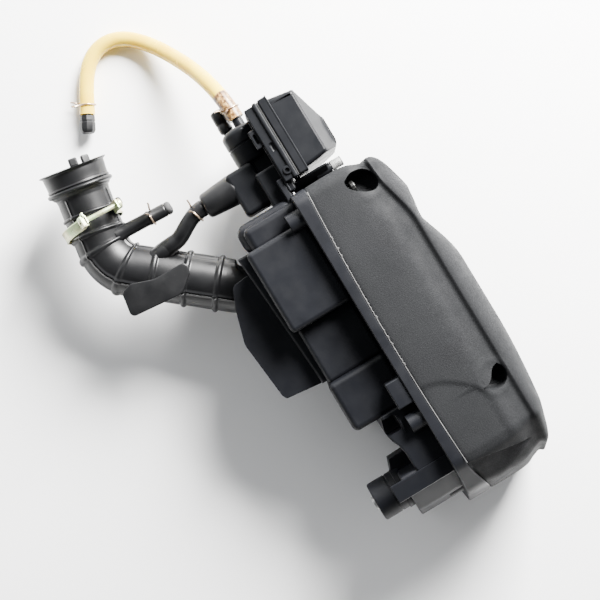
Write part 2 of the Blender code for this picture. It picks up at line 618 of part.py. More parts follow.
def breather_seal():
    seal = box("breather_seal", (-222.6, 5.6 + GAP, 30.8), (-156.6, 7.0 - GAP, 107.4), SEAL)
    return boolean(seal, "DIFFERENCE", [box("seal_window", (-218, 0, 35.5), (-162.5, 12, 102.5))])


def breather_baffle():
    baffle = box("breather_baffle", (-214.5, 3.0, 39.0), (-166.5, 5.0, 99.0), CHAMBER)
    slots = [box(f"baffle_slot_{i}", (-208, -4, z), (-173, 12, z + 5)) for i, z in enumerate((48, 62, 76, 90))]
    return boolean(baffle, "DIFFERENCE", slots)


def breather_screw():
    x, z = STRAP_SCREW
    screw = rod("breather_screw", (x, -11.0, z), (x, 0.0, z), 1.6, STEEL, sides=10)
    head = rod("strap_head", (x, -1.0 + GAP, z), (x, 1.2, z), 3.6, None, sides=12, bevel=0.5)
    return boolean(screw, "UNION", [head])


def breather_bolt():
    bolt = rod("breather_bolt", (STUD_X, 25.0, 82.0), (STUD_X, 44.0, 82.0), 3.0, ZINC, sides=12)
    head = rod("bolt_collar", (STUD_X, 33.0 + GAP, 82.0), (STUD_X, 42.5, 82.0), 4.4, None, sides=6)
    return boolean(bolt, "UNION", [head])


def outlet_duct():
    duct = rod("outlet_duct", (DUCT_X, -42.0 - GAP, DUCT_Z), (DUCT_X, DUCT_END_Y, DUCT_Z), 13.0, CHAMBER,
               end_radius=10.4, sides=20, bevel=2.0)
    return duct


def nipple_cap():
    return rod("nipple_cap", (-222.8, -24.0, 52.0), (-243.0, -24.0, 52.0), 6.0, RUBBER, sides=14, bevel=1.4)


def hose_plug():
    end = Vector(HOSE_ROUTE[-1])
    way = (end - Vector(HOSE_ROUTE[-2])).normalized()
    start = end + way * GAP
    return rod("hose_plug", tuple(start), tuple(start + way * 16), 6.0, RUBBER, sides=12, bevel=0.8)


# ---------------------------------------------------------------- ear bush
def bush(name, inner, outer, start, end, look):
    solid = rod(name, (EAR_X, start, EAR_Z), (EAR_X, end, EAR_Z), outer, look, sides=20)
    return boolean(solid, "DIFFERENCE", [rod(name + "_bore", (EAR_X, start - 9, EAR_Z),
                                             (EAR_X, end + 9, EAR_Z), inner, None, sides=16)])


# ---------------------------------------------------------------- assembly
rear_case()
front_cover()
cover_seal()
for screw_index, (screw_x, screw_z) in enumerate(SCREWS):
    cover_screw(screw_index, screw_x, screw_z)
filter_frame()
filter_element()
intake_snorkel()
intake_hose()
clamp_band()
clamp_screw()
clamp_nut()
stub_plug()
wire_clamp("stub_clamp", stub_point(-13), STUB_WAY, 6.9, (-0.6, 0, 1))
return_hose()
wire_clamp("return_clamp", (-175.7, -81.2, 71.9), (0.26, -0.96, 0), 7.6, (-0.7, 0, 1))
breather_base()
breather_lid()
breather_seal()
breather_baffle()
breather_bolt()
breather_screw()
outlet_duct()
nipple_cap()
tube("breather_hose", HOSE_ROUTE, HOSE_RADIUS, AMBER)
hose_plug()
wire_clamp("nipple_clamp", (-237.0, -12.7, 61.6), (-1, 0, 0), 8.1, (0, -0.75, 1))
wire_clamp("plug_clamp", (-314.6, -116.7, 8.95), (0.88, -0.48, 0), 7.9, (-0.6, -1, 0.35))
bush("mount_grommet", 6.4, 10.7, -76.0, -52.0, RUBBER)
bush("mount_sleeve", 4.2, 6.1, -79.0, -51.5, STEEL)
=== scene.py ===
"""Looks of a moulded air filter housing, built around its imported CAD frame.

Lengths are in millimetres in the drawing's own axes until world() turns them into metres in the
shared frame. X runs along the box, Y from the rear case to the cover, Z up from the table.
"""
import math

import bmesh
import bpy
from mathutils import Matrix, Vector, noise

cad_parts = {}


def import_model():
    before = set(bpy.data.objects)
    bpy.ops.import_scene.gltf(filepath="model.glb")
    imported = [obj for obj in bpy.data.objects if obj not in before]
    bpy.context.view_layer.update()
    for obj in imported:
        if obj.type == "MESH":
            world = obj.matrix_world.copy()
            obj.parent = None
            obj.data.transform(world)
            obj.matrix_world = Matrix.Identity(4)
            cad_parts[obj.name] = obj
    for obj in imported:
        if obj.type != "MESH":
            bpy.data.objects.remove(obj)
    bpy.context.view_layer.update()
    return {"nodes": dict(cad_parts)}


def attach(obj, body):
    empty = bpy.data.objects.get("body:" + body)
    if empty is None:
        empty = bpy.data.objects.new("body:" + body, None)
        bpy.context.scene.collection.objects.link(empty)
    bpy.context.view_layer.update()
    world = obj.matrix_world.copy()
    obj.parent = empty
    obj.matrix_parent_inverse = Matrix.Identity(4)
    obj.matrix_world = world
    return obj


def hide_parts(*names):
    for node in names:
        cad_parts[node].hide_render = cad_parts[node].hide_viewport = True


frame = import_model()
NODES = frame["nodes"]
SHIFT = Vector((60.34, 49.43, 0.0))
UP = Vector((0, 0, 1))
CAMERA_PLACE = Vector((-0.01006, 0.00463, 1.0))
BRIGHT_SIDE = (-0.55, 0.83, 0.0)         # the way towards the brighter side of the sky


def world(point):
    return (Vector(point) + SHIFT) * 0.001


def smooth(t):
    t = min(1.0, max(0.0, t))
    return t * t * (3 - 2 * t)


# ---------------------------------------------------------------- camera, light and table
def camera_and_light():
    right, up = Vector((0.517, 0.857, 0)).normalized(), Vector((-0.857, 0.517, 0)).normalized()
    data = bpy.data.cameras.new("camera")
    data.lens, data.sensor_width = 67.5, 36
    camera = bpy.data.objects.new("camera", data)
    bpy.context.scene.collection.objects.link(camera)
    turn = Matrix((right, up, UP)).transposed().to_4x4()
    camera.matrix_world = Matrix.Translation(CAMERA_PLACE) @ turn
    bpy.context.scene.camera = camera

    sky = bpy.data.worlds.new("studio")
    sky.use_nodes = True
    nodes, wires = sky.node_tree.nodes, sky.node_tree.links
    way = nodes.new("ShaderNodeSeparateXYZ")
    wires.new(nodes.new("ShaderNodeTexCoord").outputs["Generated"], way.inputs["Vector"])
    fade = nodes.new("ShaderNodeValToRGB")
    fade.color_ramp.elements[0].position, fade.color_ramp.elements[0].color = 0.12, (1.0, 1.0, 1.0, 1)
    fade.color_ramp.elements[1].position, fade.color_ramp.elements[1].color = 0.66, (0.018, 0.019, 0.021, 1)
    wires.new(way.outputs["Z"], fade.inputs["Fac"])
    wires.new(fade.outputs["Color"], nodes["Background"].inputs["Color"])
    turned = nodes.new("ShaderNodeVectorMath")
    turned.operation, turned.inputs[1].default_value = "DOT_PRODUCT", BRIGHT_SIDE
    wires.new(way.inputs["Vector"].links[0].from_socket, turned.inputs[0])
    spread = nodes.new("ShaderNodeMapRange")
    for socket, value in (("From Min", -0.7), ("From Max", 0.8), ("To Min", 1.8), ("To Max", 4.8)):
        spread.inputs[socket].default_value = value
    wires.new(turned.outputs["Value"], spread.inputs["Value"])
    wires.new(spread.outputs["Result"], nodes["Background"].inputs["Strength"])
    bpy.context.scene.world = sky
    lamps = [("key", up * 1.15 + right * 0.5 + UP * 0.8, 0.7, 300.0, (1.0, 0.99, 0.975)),
             ("fill", -right * 1.0 + up * 0.8 + UP * 1.2, 1.4, 9.0, (0.95, 0.98, 1.0))]
    for name, place, size, power, colour in lamps:
        lamp = bpy.data.lights.new(name, "AREA")
        lamp.size, lamp.energy, lamp.color = size, power, colour
        holder = bpy.data.objects.new(name, lamp)
        holder.location = place
        holder.rotation_euler = (-place).to_track_quat("-Z", "Y").to_euler()
        holder.visible_camera = False
        bpy.context.scene.collection.objects.link(holder)


# ---------------------------------------------------------------- materials
class Look:
    """A node material built step by step around one Principled shader."""

    def __init__(self, name, roughness, metallic=0.0, **sockets):
        self.material = bpy.data.materials.new(name)
        self.material.use_nodes = True
        self.tree = self.material.node_tree
        self.shader = self.tree.nodes["Principled BSDF"]
        self.shader.inputs["Roughness"].default_value = roughness
        self.shader.inputs["Metallic"].default_value = metallic
        for socket, value in sockets.items():
            self.shader.inputs[socket.replace("_", " ")].default_value = value
        self.position = self.node("ShaderNodeTexCoord").outputs["Object"]
        self.height = None

    def node(self, kind, links=(), **settings):
        made = self.tree.nodes.new(kind)
        for key, value in settings.items():
            if hasattr(made, key):
                setattr(made, key, value)
            else:
                made.inputs[key.replace("_", " ")].default_value = value
        for socket, source in dict(links).items():
            self.tree.links.new(source, made.inputs[socket])
        return made

    def noise(self, scale, detail=3.0, roughness=0.55, **more):
        return self.node("ShaderNodeTexNoise", {"Vector": self.position}, Scale=scale, Detail=detail,
                         Roughness=roughness, **more).outputs["Fac"]

    def ramp(self, source, stops):
        made = self.node("ShaderNodeValToRGB", {"Fac": source})
        elements = made.color_ramp.elements
        while len(elements) < len(stops):
            elements.new(0.5)
        for element, (spot, colour) in zip(elements, stops):
            element.position = spot
            element.color = (*colour, 1) if len(colour) == 3 else (colour[0],) * 3 + (1,)
        return made.outputs["Color"]

    def mix(self, share, first, second, blend="MIX"):
        made = self.node("ShaderNodeMix", data_type="RGBA", blend_type=blend)
        for socket, source in ((0, share), (6, first), (7, second)):
            if isinstance(source, (int, float)):
                made.inputs[socket].default_value = source
            elif isinstance(source, tuple):
                made.inputs[socket].default_value = (*source, 1)
            else:
                self.tree.links.new(source, made.inputs[socket])
        return made.outputs[2]

    def colour(self, source):
        self.tree.links.new(source, self.shader.inputs["Base Color"])
        return self

    def roughness(self, scale, low, high, detail=4.0):
        spread = self.node("ShaderNodeMapRange", {"Value": self.noise(scale, detail)},
                           From_Min=0.3, From_Max=0.7, To_Min=low, To_Max=high)
        self.tree.links.new(spread.outputs["Result"], self.shader.inputs["Roughness"])
        return self

    def bump(self, source, strength, distance):
        links = {"Height": source}
        if self.height:
            links["Normal"] = self.height
        made = self.node("ShaderNodeBump", links, Strength=strength, Distance=distance)
        self.height = made.outputs["Normal"]
        self.tree.links.new(self.height, self.shader.inputs["Normal"])
        return self

    def edges(self, low, high, base, worn):
        """Mixes in a worn colour along convex edges."""
        point = self.node("ShaderNodeNewGeometry").outputs["Pointiness"]
        return self.mix(self.ramp(point, [(low, (0.0,)), (high, (1.0,))]), base, worn)

    def cells(self, scale, **more):
        return self.node("ShaderNodeTexVoronoi", {"Vector": self.position}, Scale=scale,
                         **more).outputs["Distance"]


def moulded(name, dark, light, rough, grain, depth, speck=0.0, shine=0.5):
    """Moulded plastic or rubber: broad tone changes, fine grain and a few pale specks."""
    look = Look(name, rough, Specular_IOR_Level=shine)
    tone = look.ramp(look.noise(28.0, 4.0), [(0.3, dark), (0.72, light)])
    if speck:
        pale = tuple(min(1.0, c * 2.2 + 0.05) for c in light)
        tone = look.mix(look.ramp(look.noise(900.0, 2.0), [(0.66, (0.0,)), (0.8, (speck,))]), tone, pale)
    look.colour(tone).roughness(60.0, rough - 0.06, rough + 0.08)
    return look.bump(look.noise(grain, 2.0, 0.6), 0.35, depth)


def metal(name, dark, light, rough, tint=None, metallic=1.0):
    look = Look(name, rough, metallic)
    tone = look.ramp(look.noise(140.0, 4.0), [(0.32, dark), (0.7, light)])
    if tint:
        tone = look.mix(look.ramp(look.noise(55.0, 2.0), [(0.5, (0.0,)), (0.68, (0.7,))]), tone, tint)
    look.colour(tone).roughness(220.0, rough - 0.08, rough + 0.14)
    return look.bump(look.noise(1500.0, 2.0), 0.12, 0.00008)


def cover_look():
    look = Look("cover_grained", 0.72, Specular_IOR_Level=0.13)
    tone = look.ramp(look.noise(16.0, 5.0), [(0.3, (0.0042, 0.0045, 0.0051)),
                                             (0.7, (0.0078, 0.0082, 0.0090))])
    tone = look.mix(look.ramp(look.noise(1100.0, 3.0), [(0.42, (0.0,)), (0.75, (0.6,))]), tone,
                    (0.017, 0.0178, 0.019))
    look.colour(tone).roughness(90.0, 0.62, 0.82)
    look.bump(look.cells(1300.0), 0.5, 0.00016)
    return look.bump(look.noise(2600.0, 3.0), 0.35, 0.0001)


def foam_look():
    look = Look("foam_cells_pore_shade", 0.95)
    cells = look.cells(620.0)
    # the low pits of the cell bump are painted dark and the raised strands lighter: painted shade in the
    # pores
    look.colour(look.ramp(cells, [(0.1, (0.02, 0.022, 0.028)), (0.6, (0.13, 0.14, 0.17))]))
    return look.bump(cells, 0.9, 0.0008)


def amber_look():
    look = Look("amber_vinyl", 0.2, Transmission_Weight=0.25, IOR=1.42, Coat_Weight=0.1)
    tone = look.ramp(look.noise(45.0, 4.0), [(0.3, (0.84, 0.54, 0.012)), (0.72, (0.93, 0.70, 0.05))])
    look.colour(tone).roughness(70.0, 0.12, 0.3)
    return look.bump(look.noise(500.0, 2.0), 0.15, 0.0001)


def stained_look():
    look = Look("stained_vinyl", 0.3)
    browns = [(0.38, (0.03, 0.014, 0.005)), (0.5, (0.20, 0.10, 0.03)), (0.6, (0.42, 0.26, 0.09)),
              (0.74, (0.75, 0.56, 0.28))]
    look.colour(look.ramp(look.noise(420.0, 5.0, 0.7), browns))
    return look.bump(look.noise(700.0, 3.0), 0.4, 0.0002)


LOOKS = {
    "case_plastic": moulded("case_smooth", (0.0030, 0.0033, 0.0045), (0.0052, 0.0057, 0.0074), 0.45, 700.0,
                            0.00005, 0.1, 0.17),
    "cover_plastic": cover_look(),
    "breather_plastic": moulded("chamber_satin", (0.0040, 0.0044, 0.0054), (0.0066, 0.0070, 0.0082), 0.36,
                                800.0, 0.00006, 0.12, 0.15),
    "hose_rubber": moulded("rubber_satin", (0.0030, 0.0031, 0.0035), (0.0058, 0.0059, 0.0064), 0.36, 600.0,
                           0.00008, 0.15, 0.3),
    "seal_rubber": moulded("rubber_matt", (0.012, 0.012, 0.012), (0.024, 0.024, 0.024), 0.75, 900.0, 0.0001),
    "yellow_zinc": metal("zinc_yellow", (0.42, 0.37, 0.20), (0.72, 0.68, 0.46), 0.3, (0.42, 0.60, 0.34),
                         0.55),
    "screw_steel": metal("zinc_bright", (0.30, 0.30, 0.30), (0.55, 0.55, 0.54), 0.32, None, 0.6),
    "black_zinc": metal("zinc_black", (0.02, 0.02, 0.02), (0.06, 0.06, 0.058), 0.42),
    "spring_wire": metal("wire_dull", (0.34, 0.20, 0.12), (0.74, 0.62, 0.48), 0.3),
    "amber_vinyl": amber_look(),
    "filter_foam": foam_look(),
}
STAINED = stained_look().material
FLASH = moulded("torn_flash", (0.005, 0.005, 0.0055), (0.06, 0.06, 0.06), 0.7, 900.0, 0.0001).material
WORN = moulded("worn_end", (0.012, 0.012, 0.013), (0.08, 0.08, 0.08), 0.7, 500.0, 0.0003).material


# ---------------------------------------------------------------- shapes
def split_caps(bm):
    """Splits every face of more than four corners into triangles."""
    bmesh.ops.triangulate(bm, faces=[f for f in bm.faces if len(f.verts) > 4])
    return bm


def soften(bm, edges, width, segments, clamp=True):
    bmesh.ops.bevel(bm, geom=edges, offset=width, segments=segments, profile=0.5, affect="EDGES",
                    clamp_overlap=clamp)


def stepped(t, stops):
    """Blends smoothly between (place, value) stops and holds the last value."""
    for (a, low), (b, high) in zip(stops, stops[1:]):
        if a <= t < b:
            return low + (high - low) * smooth((t - a) / (b - a))
    return stops[-1][1]


def cuboid(low, high, bevel=0.0, segments=3):
    bm = bmesh.new()
    low, high = Vector(low), Vector(high)
    bmesh.ops.create_cube(bm, size=1.0)
    for vert in bm.verts:
        vert.co = Vector([(l + h) / 2 + c * (h - l) for l, h, c in zip(low, high, vert.co)])
    if bevel:
        soften(bm, bm.edges, bevel, segments)
    return bm


def barrel(start, end, profile, sides=40):
    """Turned solid: profile is (share along, radius) from start to end, closed at both ends."""
    start, end = Vector(start), Vector(end)
    along = end - start
    way = along.normalized()
    side = way.orthogonal().normalized()
    up = way.cross(side)
    rows = []
    for share, radius in profile:
        centre = start + along * share
        rows.append([centre + (side * math.cos(a) + up * math.sin(a)) * radius
                     for a in (2 * math.pi * i / sides for i in range(sides))])
    return skin(rows)


def rod(start, end, radius, bevel=0.6, end_radius=None, sides=40):
    """A cylinder or cone whose ends have rounded edges."""
    last = radius if end_radius is None else end_radius
    length = (Vector(end) - Vector(start)).length
    profile = []
    for t in (0, 30, 60, 90):
        a = math.radians(t)
        profile.append(((bevel - bevel * math.sin(a)) / length, radius - bevel + bevel * math.cos(a)))
    head = profile[::-1]
    tail = [(1 - s, r - radius + last) for s, r in profile]
    return barrel(start, end, head + tail if bevel else [(0, radius), (1, last)], sides)


def skin(rows, closed=False):
    """Quads between rows of equally many points; closed joins the last row to the first."""
    bm = bmesh.new()
    made = [[bm.verts.new(point) for point in row] for row in rows]
    pairs = list(zip(made, made[1:])) + ([(made[-1], made[0])] if closed else [])
    for first, second in pairs:
        for i in range(len(first)):
            bm.faces.new((first[i - 1], first[i], second[i], second[i - 1]))
    if not closed:
        for row in (made[0], made[-1]):
            bm.faces.new(row)
    bmesh.ops.recalc_face_normals(bm, faces=bm.faces)
    return bm


def prism(outline, low, high, bevel=0.0, segments=3, place=None):
    """A flat outline in X and Y raised from low to high; place moves it in the drawing."""
    bm = bmesh.new()
    base = [bm.verts.new((x, y, low)) for x, y in outline]
    top = [bm.verts.new((x, y, high)) for x, y in outline]
    bm.faces.new(base)
    bm.faces.new(top)
    for i in range(len(base)):
        bm.faces.new((base[i - 1], base[i], top[i], top[i - 1]))
    bmesh.ops.recalc_face_normals(bm, faces=bm.faces)
    if bevel:
        rims = [e for e in bm.edges if abs(e.verts[0].co.z - e.verts[1].co.z) < 1e-6]
        soften(bm, rims, bevel, segments)
    if place:
        bmesh.ops.transform(bm, matrix=place, verts=bm.verts)
    return bm


def rings(route, radius, sides):
    """Round sections along a route; radius takes the share along and the centre point."""
    rows = []
    side = None
    for i, point in enumerate(route):
        way = (route[min(i + 1, len(route) - 1)] - route[max(i - 1, 0)]).normalized()
        side = way.orthogonal() if side is None else side - way * side.dot(way)
        side.normalize()
        up = way.cross(side)
        size = radius(i / (len(route) - 1), point)
        rows.append([point + (side * math.cos(a) + up * math.sin(a)) * size
                     for a in (2 * math.pi * j / sides for j in range(sides))])
    return rows


def sweep(route, radius, sides):
    """A round bar along dense points; radius is a number or a function of the share along."""
    size = radius if callable(radius) else lambda share: radius
    return skin(rings([Vector(p) for p in route], lambda share, point: size(share), sides))


def curve_through(points, steps=8):
    """Catmull-Rom points through the given ones."""
    points = [Vector(p) for p in points]
    ends = [points[0] * 2 - points[1]] + points + [points[-1] * 2 - points[-2]]
    made = []
    for a, b, c, d in zip(ends, ends[1:], ends[2:], ends[3:]):
        for i in range(steps):
            t = i / steps
            made.append(0.5 * (b * 2 + (c - a) * t + (a * 2 - b * 5 + c * 4 - d) * t * t
                               + (b * 3 - a - c * 3 + d) * t * t * t))
    return made + [points[-1]]


def linked(name, bm):
    """Puts a drawing into the scene as a mesh object."""
    mesh = bpy.data.meshes.new(name)
    bm.to_mesh(mesh)
    bm.free()
    made = bpy.data.objects.new(name, mesh)
    bpy.context.scene.collection.objects.link(made)
    return made


def carve(base, *steps):
    """Applies ("UNION" or "DIFFERENCE", [solids]) one after another and returns the result."""
    target = linked("scratch", base)
    made = [target]
    groups = []
    for operation, solids in steps:
        group = bpy.data.collections.new("tools")
        groups.append(group)
        for solid in solids:
            tool = linked("scratch", solid)
            made.append(tool)
            group.objects.link(tool)
        step = target.modifiers.new("step", "BOOLEAN")
        step.operation, step.solver = operation, "MANIFOLD"
        step.operand_type, step.collection = "COLLECTION", group
    bpy.context.view_layer.update()
    result = target.evaluated_get(bpy.context.evaluated_depsgraph_get()).to_mesh()
    bm = bmesh.new()
    bm.from_mesh(result)
    for item in made:
        bpy.data.objects.remove(item, do_unlink=True)
    for group in groups:
        bpy.data.collections.remove(group)
    return bm


def merged(*solids):
    """Several solids in one mesh, not joined."""
    bm = bmesh.new()
    for solid in solids:
        mesh = bpy.data.meshes.new("part")
        solid.to_mesh(mesh)
        solid.free()
        bm.from_mesh(mesh)
        bpy.data.meshes.remove(mesh)
    return bm


def piece(name, bm, slot, body="housing", replaced=(), angle=38, look=None, flat=True):
    """Turns a drawing in millimetres into a finished piece that rides on a body."""
    for vert in bm.verts:
        vert.co = world(vert.co)
    made = linked(name, bm)
    made.data.shade_smooth()
    made.data.set_sharp_from_angle(angle=math.radians(angle))
    made.data.materials.append(look or LOOKS[slot].material)
    if flat:
        made.modifiers.new("normals", "WEIGHTED_NORMAL").keep_sharp = True
    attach(made, body)
    if replaced:
        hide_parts(*replaced)
    return made


def rubber(name, bm, replaced=(), angle=60):
    """A rubber piece on the housing, shaded smooth without weighted normals."""
    return piece(name, bm, "hose_rubber", "housing", replaced, angle, flat=False)


# ---------------------------------------------------------------- rim outline shared by case and cover
RIM_CORNERS = [(-143, 131), (103, 131), (131, 104), (149, 50), (147, 0), (-139, 0), (-148, 40)]
RIM_RADII = [11, 16, 26, 22, 10, 12, 30]
SIDE_PIECES = [140, 30, 18, 8, 40, 6, 12]
CORNER_STEPS = 12
COVER_MID_Z = 65.0
RIDGE_Y = 66.0
SPINE_X = (-84.0, 88.0)


def rounded(corners, radii, steps):
    points = []
    for i, (corner, radius) in enumerate(zip(corners, radii)):
        here = Vector(corner)
        back = (Vector(corners[i - 1]) - here).normalized()
        onward = (Vector(corners[(i + 1) % len(corners)]) - here).normalized()
        half = back.angle(onward) / 2
        reach = radius / math.tan(half)
        centre = here + (back + onward).normalized() * radius / math.sin(half)
        first, last = here + back * reach - centre, here + onward * reach - centre
        sweep_angle = first.angle_signed(last)
        for step in range(steps + 1):
            points.append(tuple(centre + Matrix.Rotation(-sweep_angle * step / steps, 2) @ first))
    return points


def inset_corners(corners, distance):
    moved = []
    for i, corner in enumerate(corners):
        here = Vector(corner)
        before = (here - Vector(corners[i - 1])).normalized()
        after = (Vector(corners[(i + 1) % len(corners)]) - here).normalized()
        inward_before, inward_after = Vector((before.y, -before.x)), Vector((after.y, -after.x))
        share = distance / (1 + inward_before.dot(inward_after))
        moved.append(tuple(here + (inward_before + inward_after) * share))
    return moved


def parting(x):
    """The parting line bows back in the middle and runs forward at the slanted end."""
    return -2.0 + 5.0 * (x / 145) ** 2 + 8.0 * smooth((x - 103) / 44)


def rim(inset, y, follow=1.0):
    """The rim outline, moved in by inset, at depth y from the parting line."""
    radii = [max(2.5, r - inset) for r in RIM_RADII]
    outline = rounded(inset_corners(RIM_CORNERS, inset), radii, CORNER_STEPS)
    points = []
    count = CORNER_STEPS + 1
    for i, pieces in enumerate(SIDE_PIECES):
        arc = outline[i * count:(i + 1) * count]
        last, following = Vector(arc[-1]), Vector(outline[(i + 1) * count % len(outline)])
        points += arc + [tuple(last.lerp(following, step / pieces)) for step in range(1, pieces)]
    return [(x, y + follow * parting(x), z) for x, z in points]


# ---------------------------------------------------------------- front cover
WELL_SCREWS = [(-125, 120), (57, 121), (124, 80), (118, 10.8), (15, 10.8), (-119, 10.8)]
UPPER_WELLS = 2                          # the first two screws stand in the pockets
POCKET_FLOOR_Z = 114.0


def ridge_share(x):
    """The ridge runs back towards the -X end."""
    return 1.0 - 0.15 * smooth((-76 - x) / 56)


def dome_height(x):
    lift = min(1.0, max(0.0, (x + 76) / 46)) * min(1.0, max(0.0, (140 - x) / 120))
    return 8.0 + 13.0 * math.sin(lift * math.pi / 2) + 12.0 * smooth((-78 - x) / 30)


def cover_detail(point):
    """Shallow forms of the cover: a curved step, the slanted end's recess and the pockets' rims."""
    x, y, z = point
    if z > 96 and y < 60:
        step_x = 37 + 31 * (y / 44.5) ** 2
        z -= 0.9 * smooth((x - step_x + 2.5) / 5) * smooth((46 - y) / 8) * smooth((108 - x) / 8)
        near_edge, far_edge = 105 + 0.22 * (y - 3.4), 138 - 0.46 * (y - 8)
        if far_edge > near_edge:
            past = x - near_edge
            depth = 3.0 * smooth(past / 1.4) * max(0.0, 1 - past / (far_edge - near_edge))
            depth *= smooth((57 - y) / 5) * smooth((y - 1.5) / 2)
            x, z = x - depth * 0.7, z - depth * 0.7
    if z > 90:
        near = math.hypot(x + 125.6, (y - 44.5) * 1.15)
        z += 0.9 * math.exp(-((near - 15.5) / 3.4) ** 2) * smooth((y - 34) / 14)
        bump_two = math.hypot(x - 58, y - 53)
        z += 0.5 * math.exp(-((bump_two - 13) / 3.0) ** 2)
    return (x, y, z)


def front_cover():
    profile = [(0.25, 1.1), (0.9, 0.5), (2.2, 0.2), (5, 0.1), (9, 0.0), (13, 0.0), (17, 0.0), (21, 0.0),
               (25, 0.05), (29, 0.1), (33, 0.2), (36.5, 0.35), (39.5, 0.55), (42.5, 0.85), (45, 1.3),
               (47, 1.8), (49, 2.5), (51, 3.3), (53, 4.1), (55, 4.7), (57, 5.3), (59, 5.9), (60.6, 6.3),
               (62, 6.4), (63.2, 6.1), (64.3, 5.4), (65.2, 4.8), (65.9, 4.55), (66.5, 4.6)]
    middles = [((y + next_y) / 2, inset + (next_inset - inset) / 2)
               for (y, inset), (next_y, next_inset) in zip(profile, profile[1:]) if next_y - y > 2.9]
    profile = sorted(profile + middles)
    shares = [0.03, 0.08, 0.14, 0.2, 0.27, 0.34, 0.42, 0.5, 0.58, 0.66, 0.74, 0.81, 0.87, 0.92, 0.96]

    def shaped(points, thickness):
        placed = [(x, y * ridge_share(x), z) for x, y, z in points]
        return [cover_detail(p) for p in placed] if not thickness else placed

    def dome(points, share, thickness):
        turn = share * math.pi / 2
        pull = 1 - math.cos(turn)
        made = []
        for x, _, z in points:
            spine = min(max(x, SPINE_X[0]), SPINE_X[1])
            px, pz = x + (spine - x) * pull, z + (COVER_MID_Z - z) * pull
            ridge = RIDGE_Y * ridge_share(x) * (1 - pull) + RIDGE_Y * ridge_share(px) * pull
            made.append((px, ridge + 0.6 - thickness + dome_height(px) * math.sin(turn), pz))
        return made

    rows = [shaped(rim(i, y, follow=1 - y / RIDGE_Y), 0) for y, i in profile]
    outer_edge = rim(profile[-1][1], RIDGE_Y, follow=0.0)
    rows += [dome(outer_edge, share, 0) for share in shares]
    inner_profile = [(0.25, 2.6), (20, 2.6), (42, 3.6), (52, 6.6), (60, 7.8)]
    inner = [shaped(rim(i, y, follow=1 - y / RIDGE_Y), 2.6) for y, i in inner_profile]
    inner_edge = rim(7.8, RIDGE_Y, follow=0.0)
    inner += [dome(inner_edge, share, 2.8) for share in (0.2, 0.4, 0.6, 0.8, 0.95)]
    body = split_caps(skin(inner[::-1] + rows))

    wells, holes = [], []
    for i, (x, z) in enumerate(WELL_SCREWS):
        inward = 1 if z < COVER_MID_Z else -1
        slim = i < UPPER_WELLS
        wall = barrel((x, parting(x) + 4, z), (x, 44 if slim else 84, z),
                      [(0, 5.6), (0.28, 5.6), (0.32, 9.2), (1, 9.2)], 32)
        if not slim:                         # the deep wells end flush with the dome
            wall = carve(wall, ("INTERSECT", [split_caps(skin(rows))]))
        wells.append(wall)
        level = z - 0.8 if slim else z + 0.4 * inward
        wide = [(0, 5.9), (0.5, 5.9), (0.6, 5.0), (1, 4.6)] if slim else [(0, 7.4), (1, 7.4)]
        holes.append(barrel((x, 34, level), (x, 55 if slim else 100, level), wide, 40))
        holes.append(rod((x, -5, z), (x, 50, z), 2.9, 0, sides=20))
    pocket_1 = [(-131, 31.5), (-134.6, 39), (-133.4, 48.5), (-127, 54.6), (-118.5, 55.4), (-114, 50.5),
                (-115.8, 42.4), (-122.5, 33.6), (-127, 31.2)]
    pocket_2 = [(50.2, 61.0), (54.5, 63.8), (59.4, 64.2), (64.2, 62.2), (67.6, 57.5), (68.0, 51.5),
                (65.8, 45.5), (61.6, 41.6), (61.2, 45.6), (58.6, 50.2), (54.6, 53.4), (51.4, 56.6)]
    for outline in (pocket_1, pocket_2):
        loop = curve_through([(x, y, 0) for x, y in outline + outline[:1]], 5)[:-1]
        middle = sum(loop, Vector()) / len(loop)

        def dish(levels):
            return skin([[(middle.x + (p.x - middle.x) * s, middle.y + (p.y - middle.y) * s, z) for p in loop]
                         for s, z in levels])

        floor = POCKET_FLOOR_Z
        wells.append(dish([(0.9, floor - 2.6), (1.14, floor + 1), (1.2, floor + 6), (1.2, 125.2)]))
        holes.append(dish([(0.62, floor), (0.8, floor + 1.2), (0.93, floor + 4), (0.985, floor + 9),
                           (1.0, 124.0), (1.0, 140.0)]))
    body = carve(body, ("UNION", wells), ("DIFFERENCE", holes))
    return piece("cover_shell", body, "cover_plastic", "cover", ["front_cover"], angle=30, flat=False)


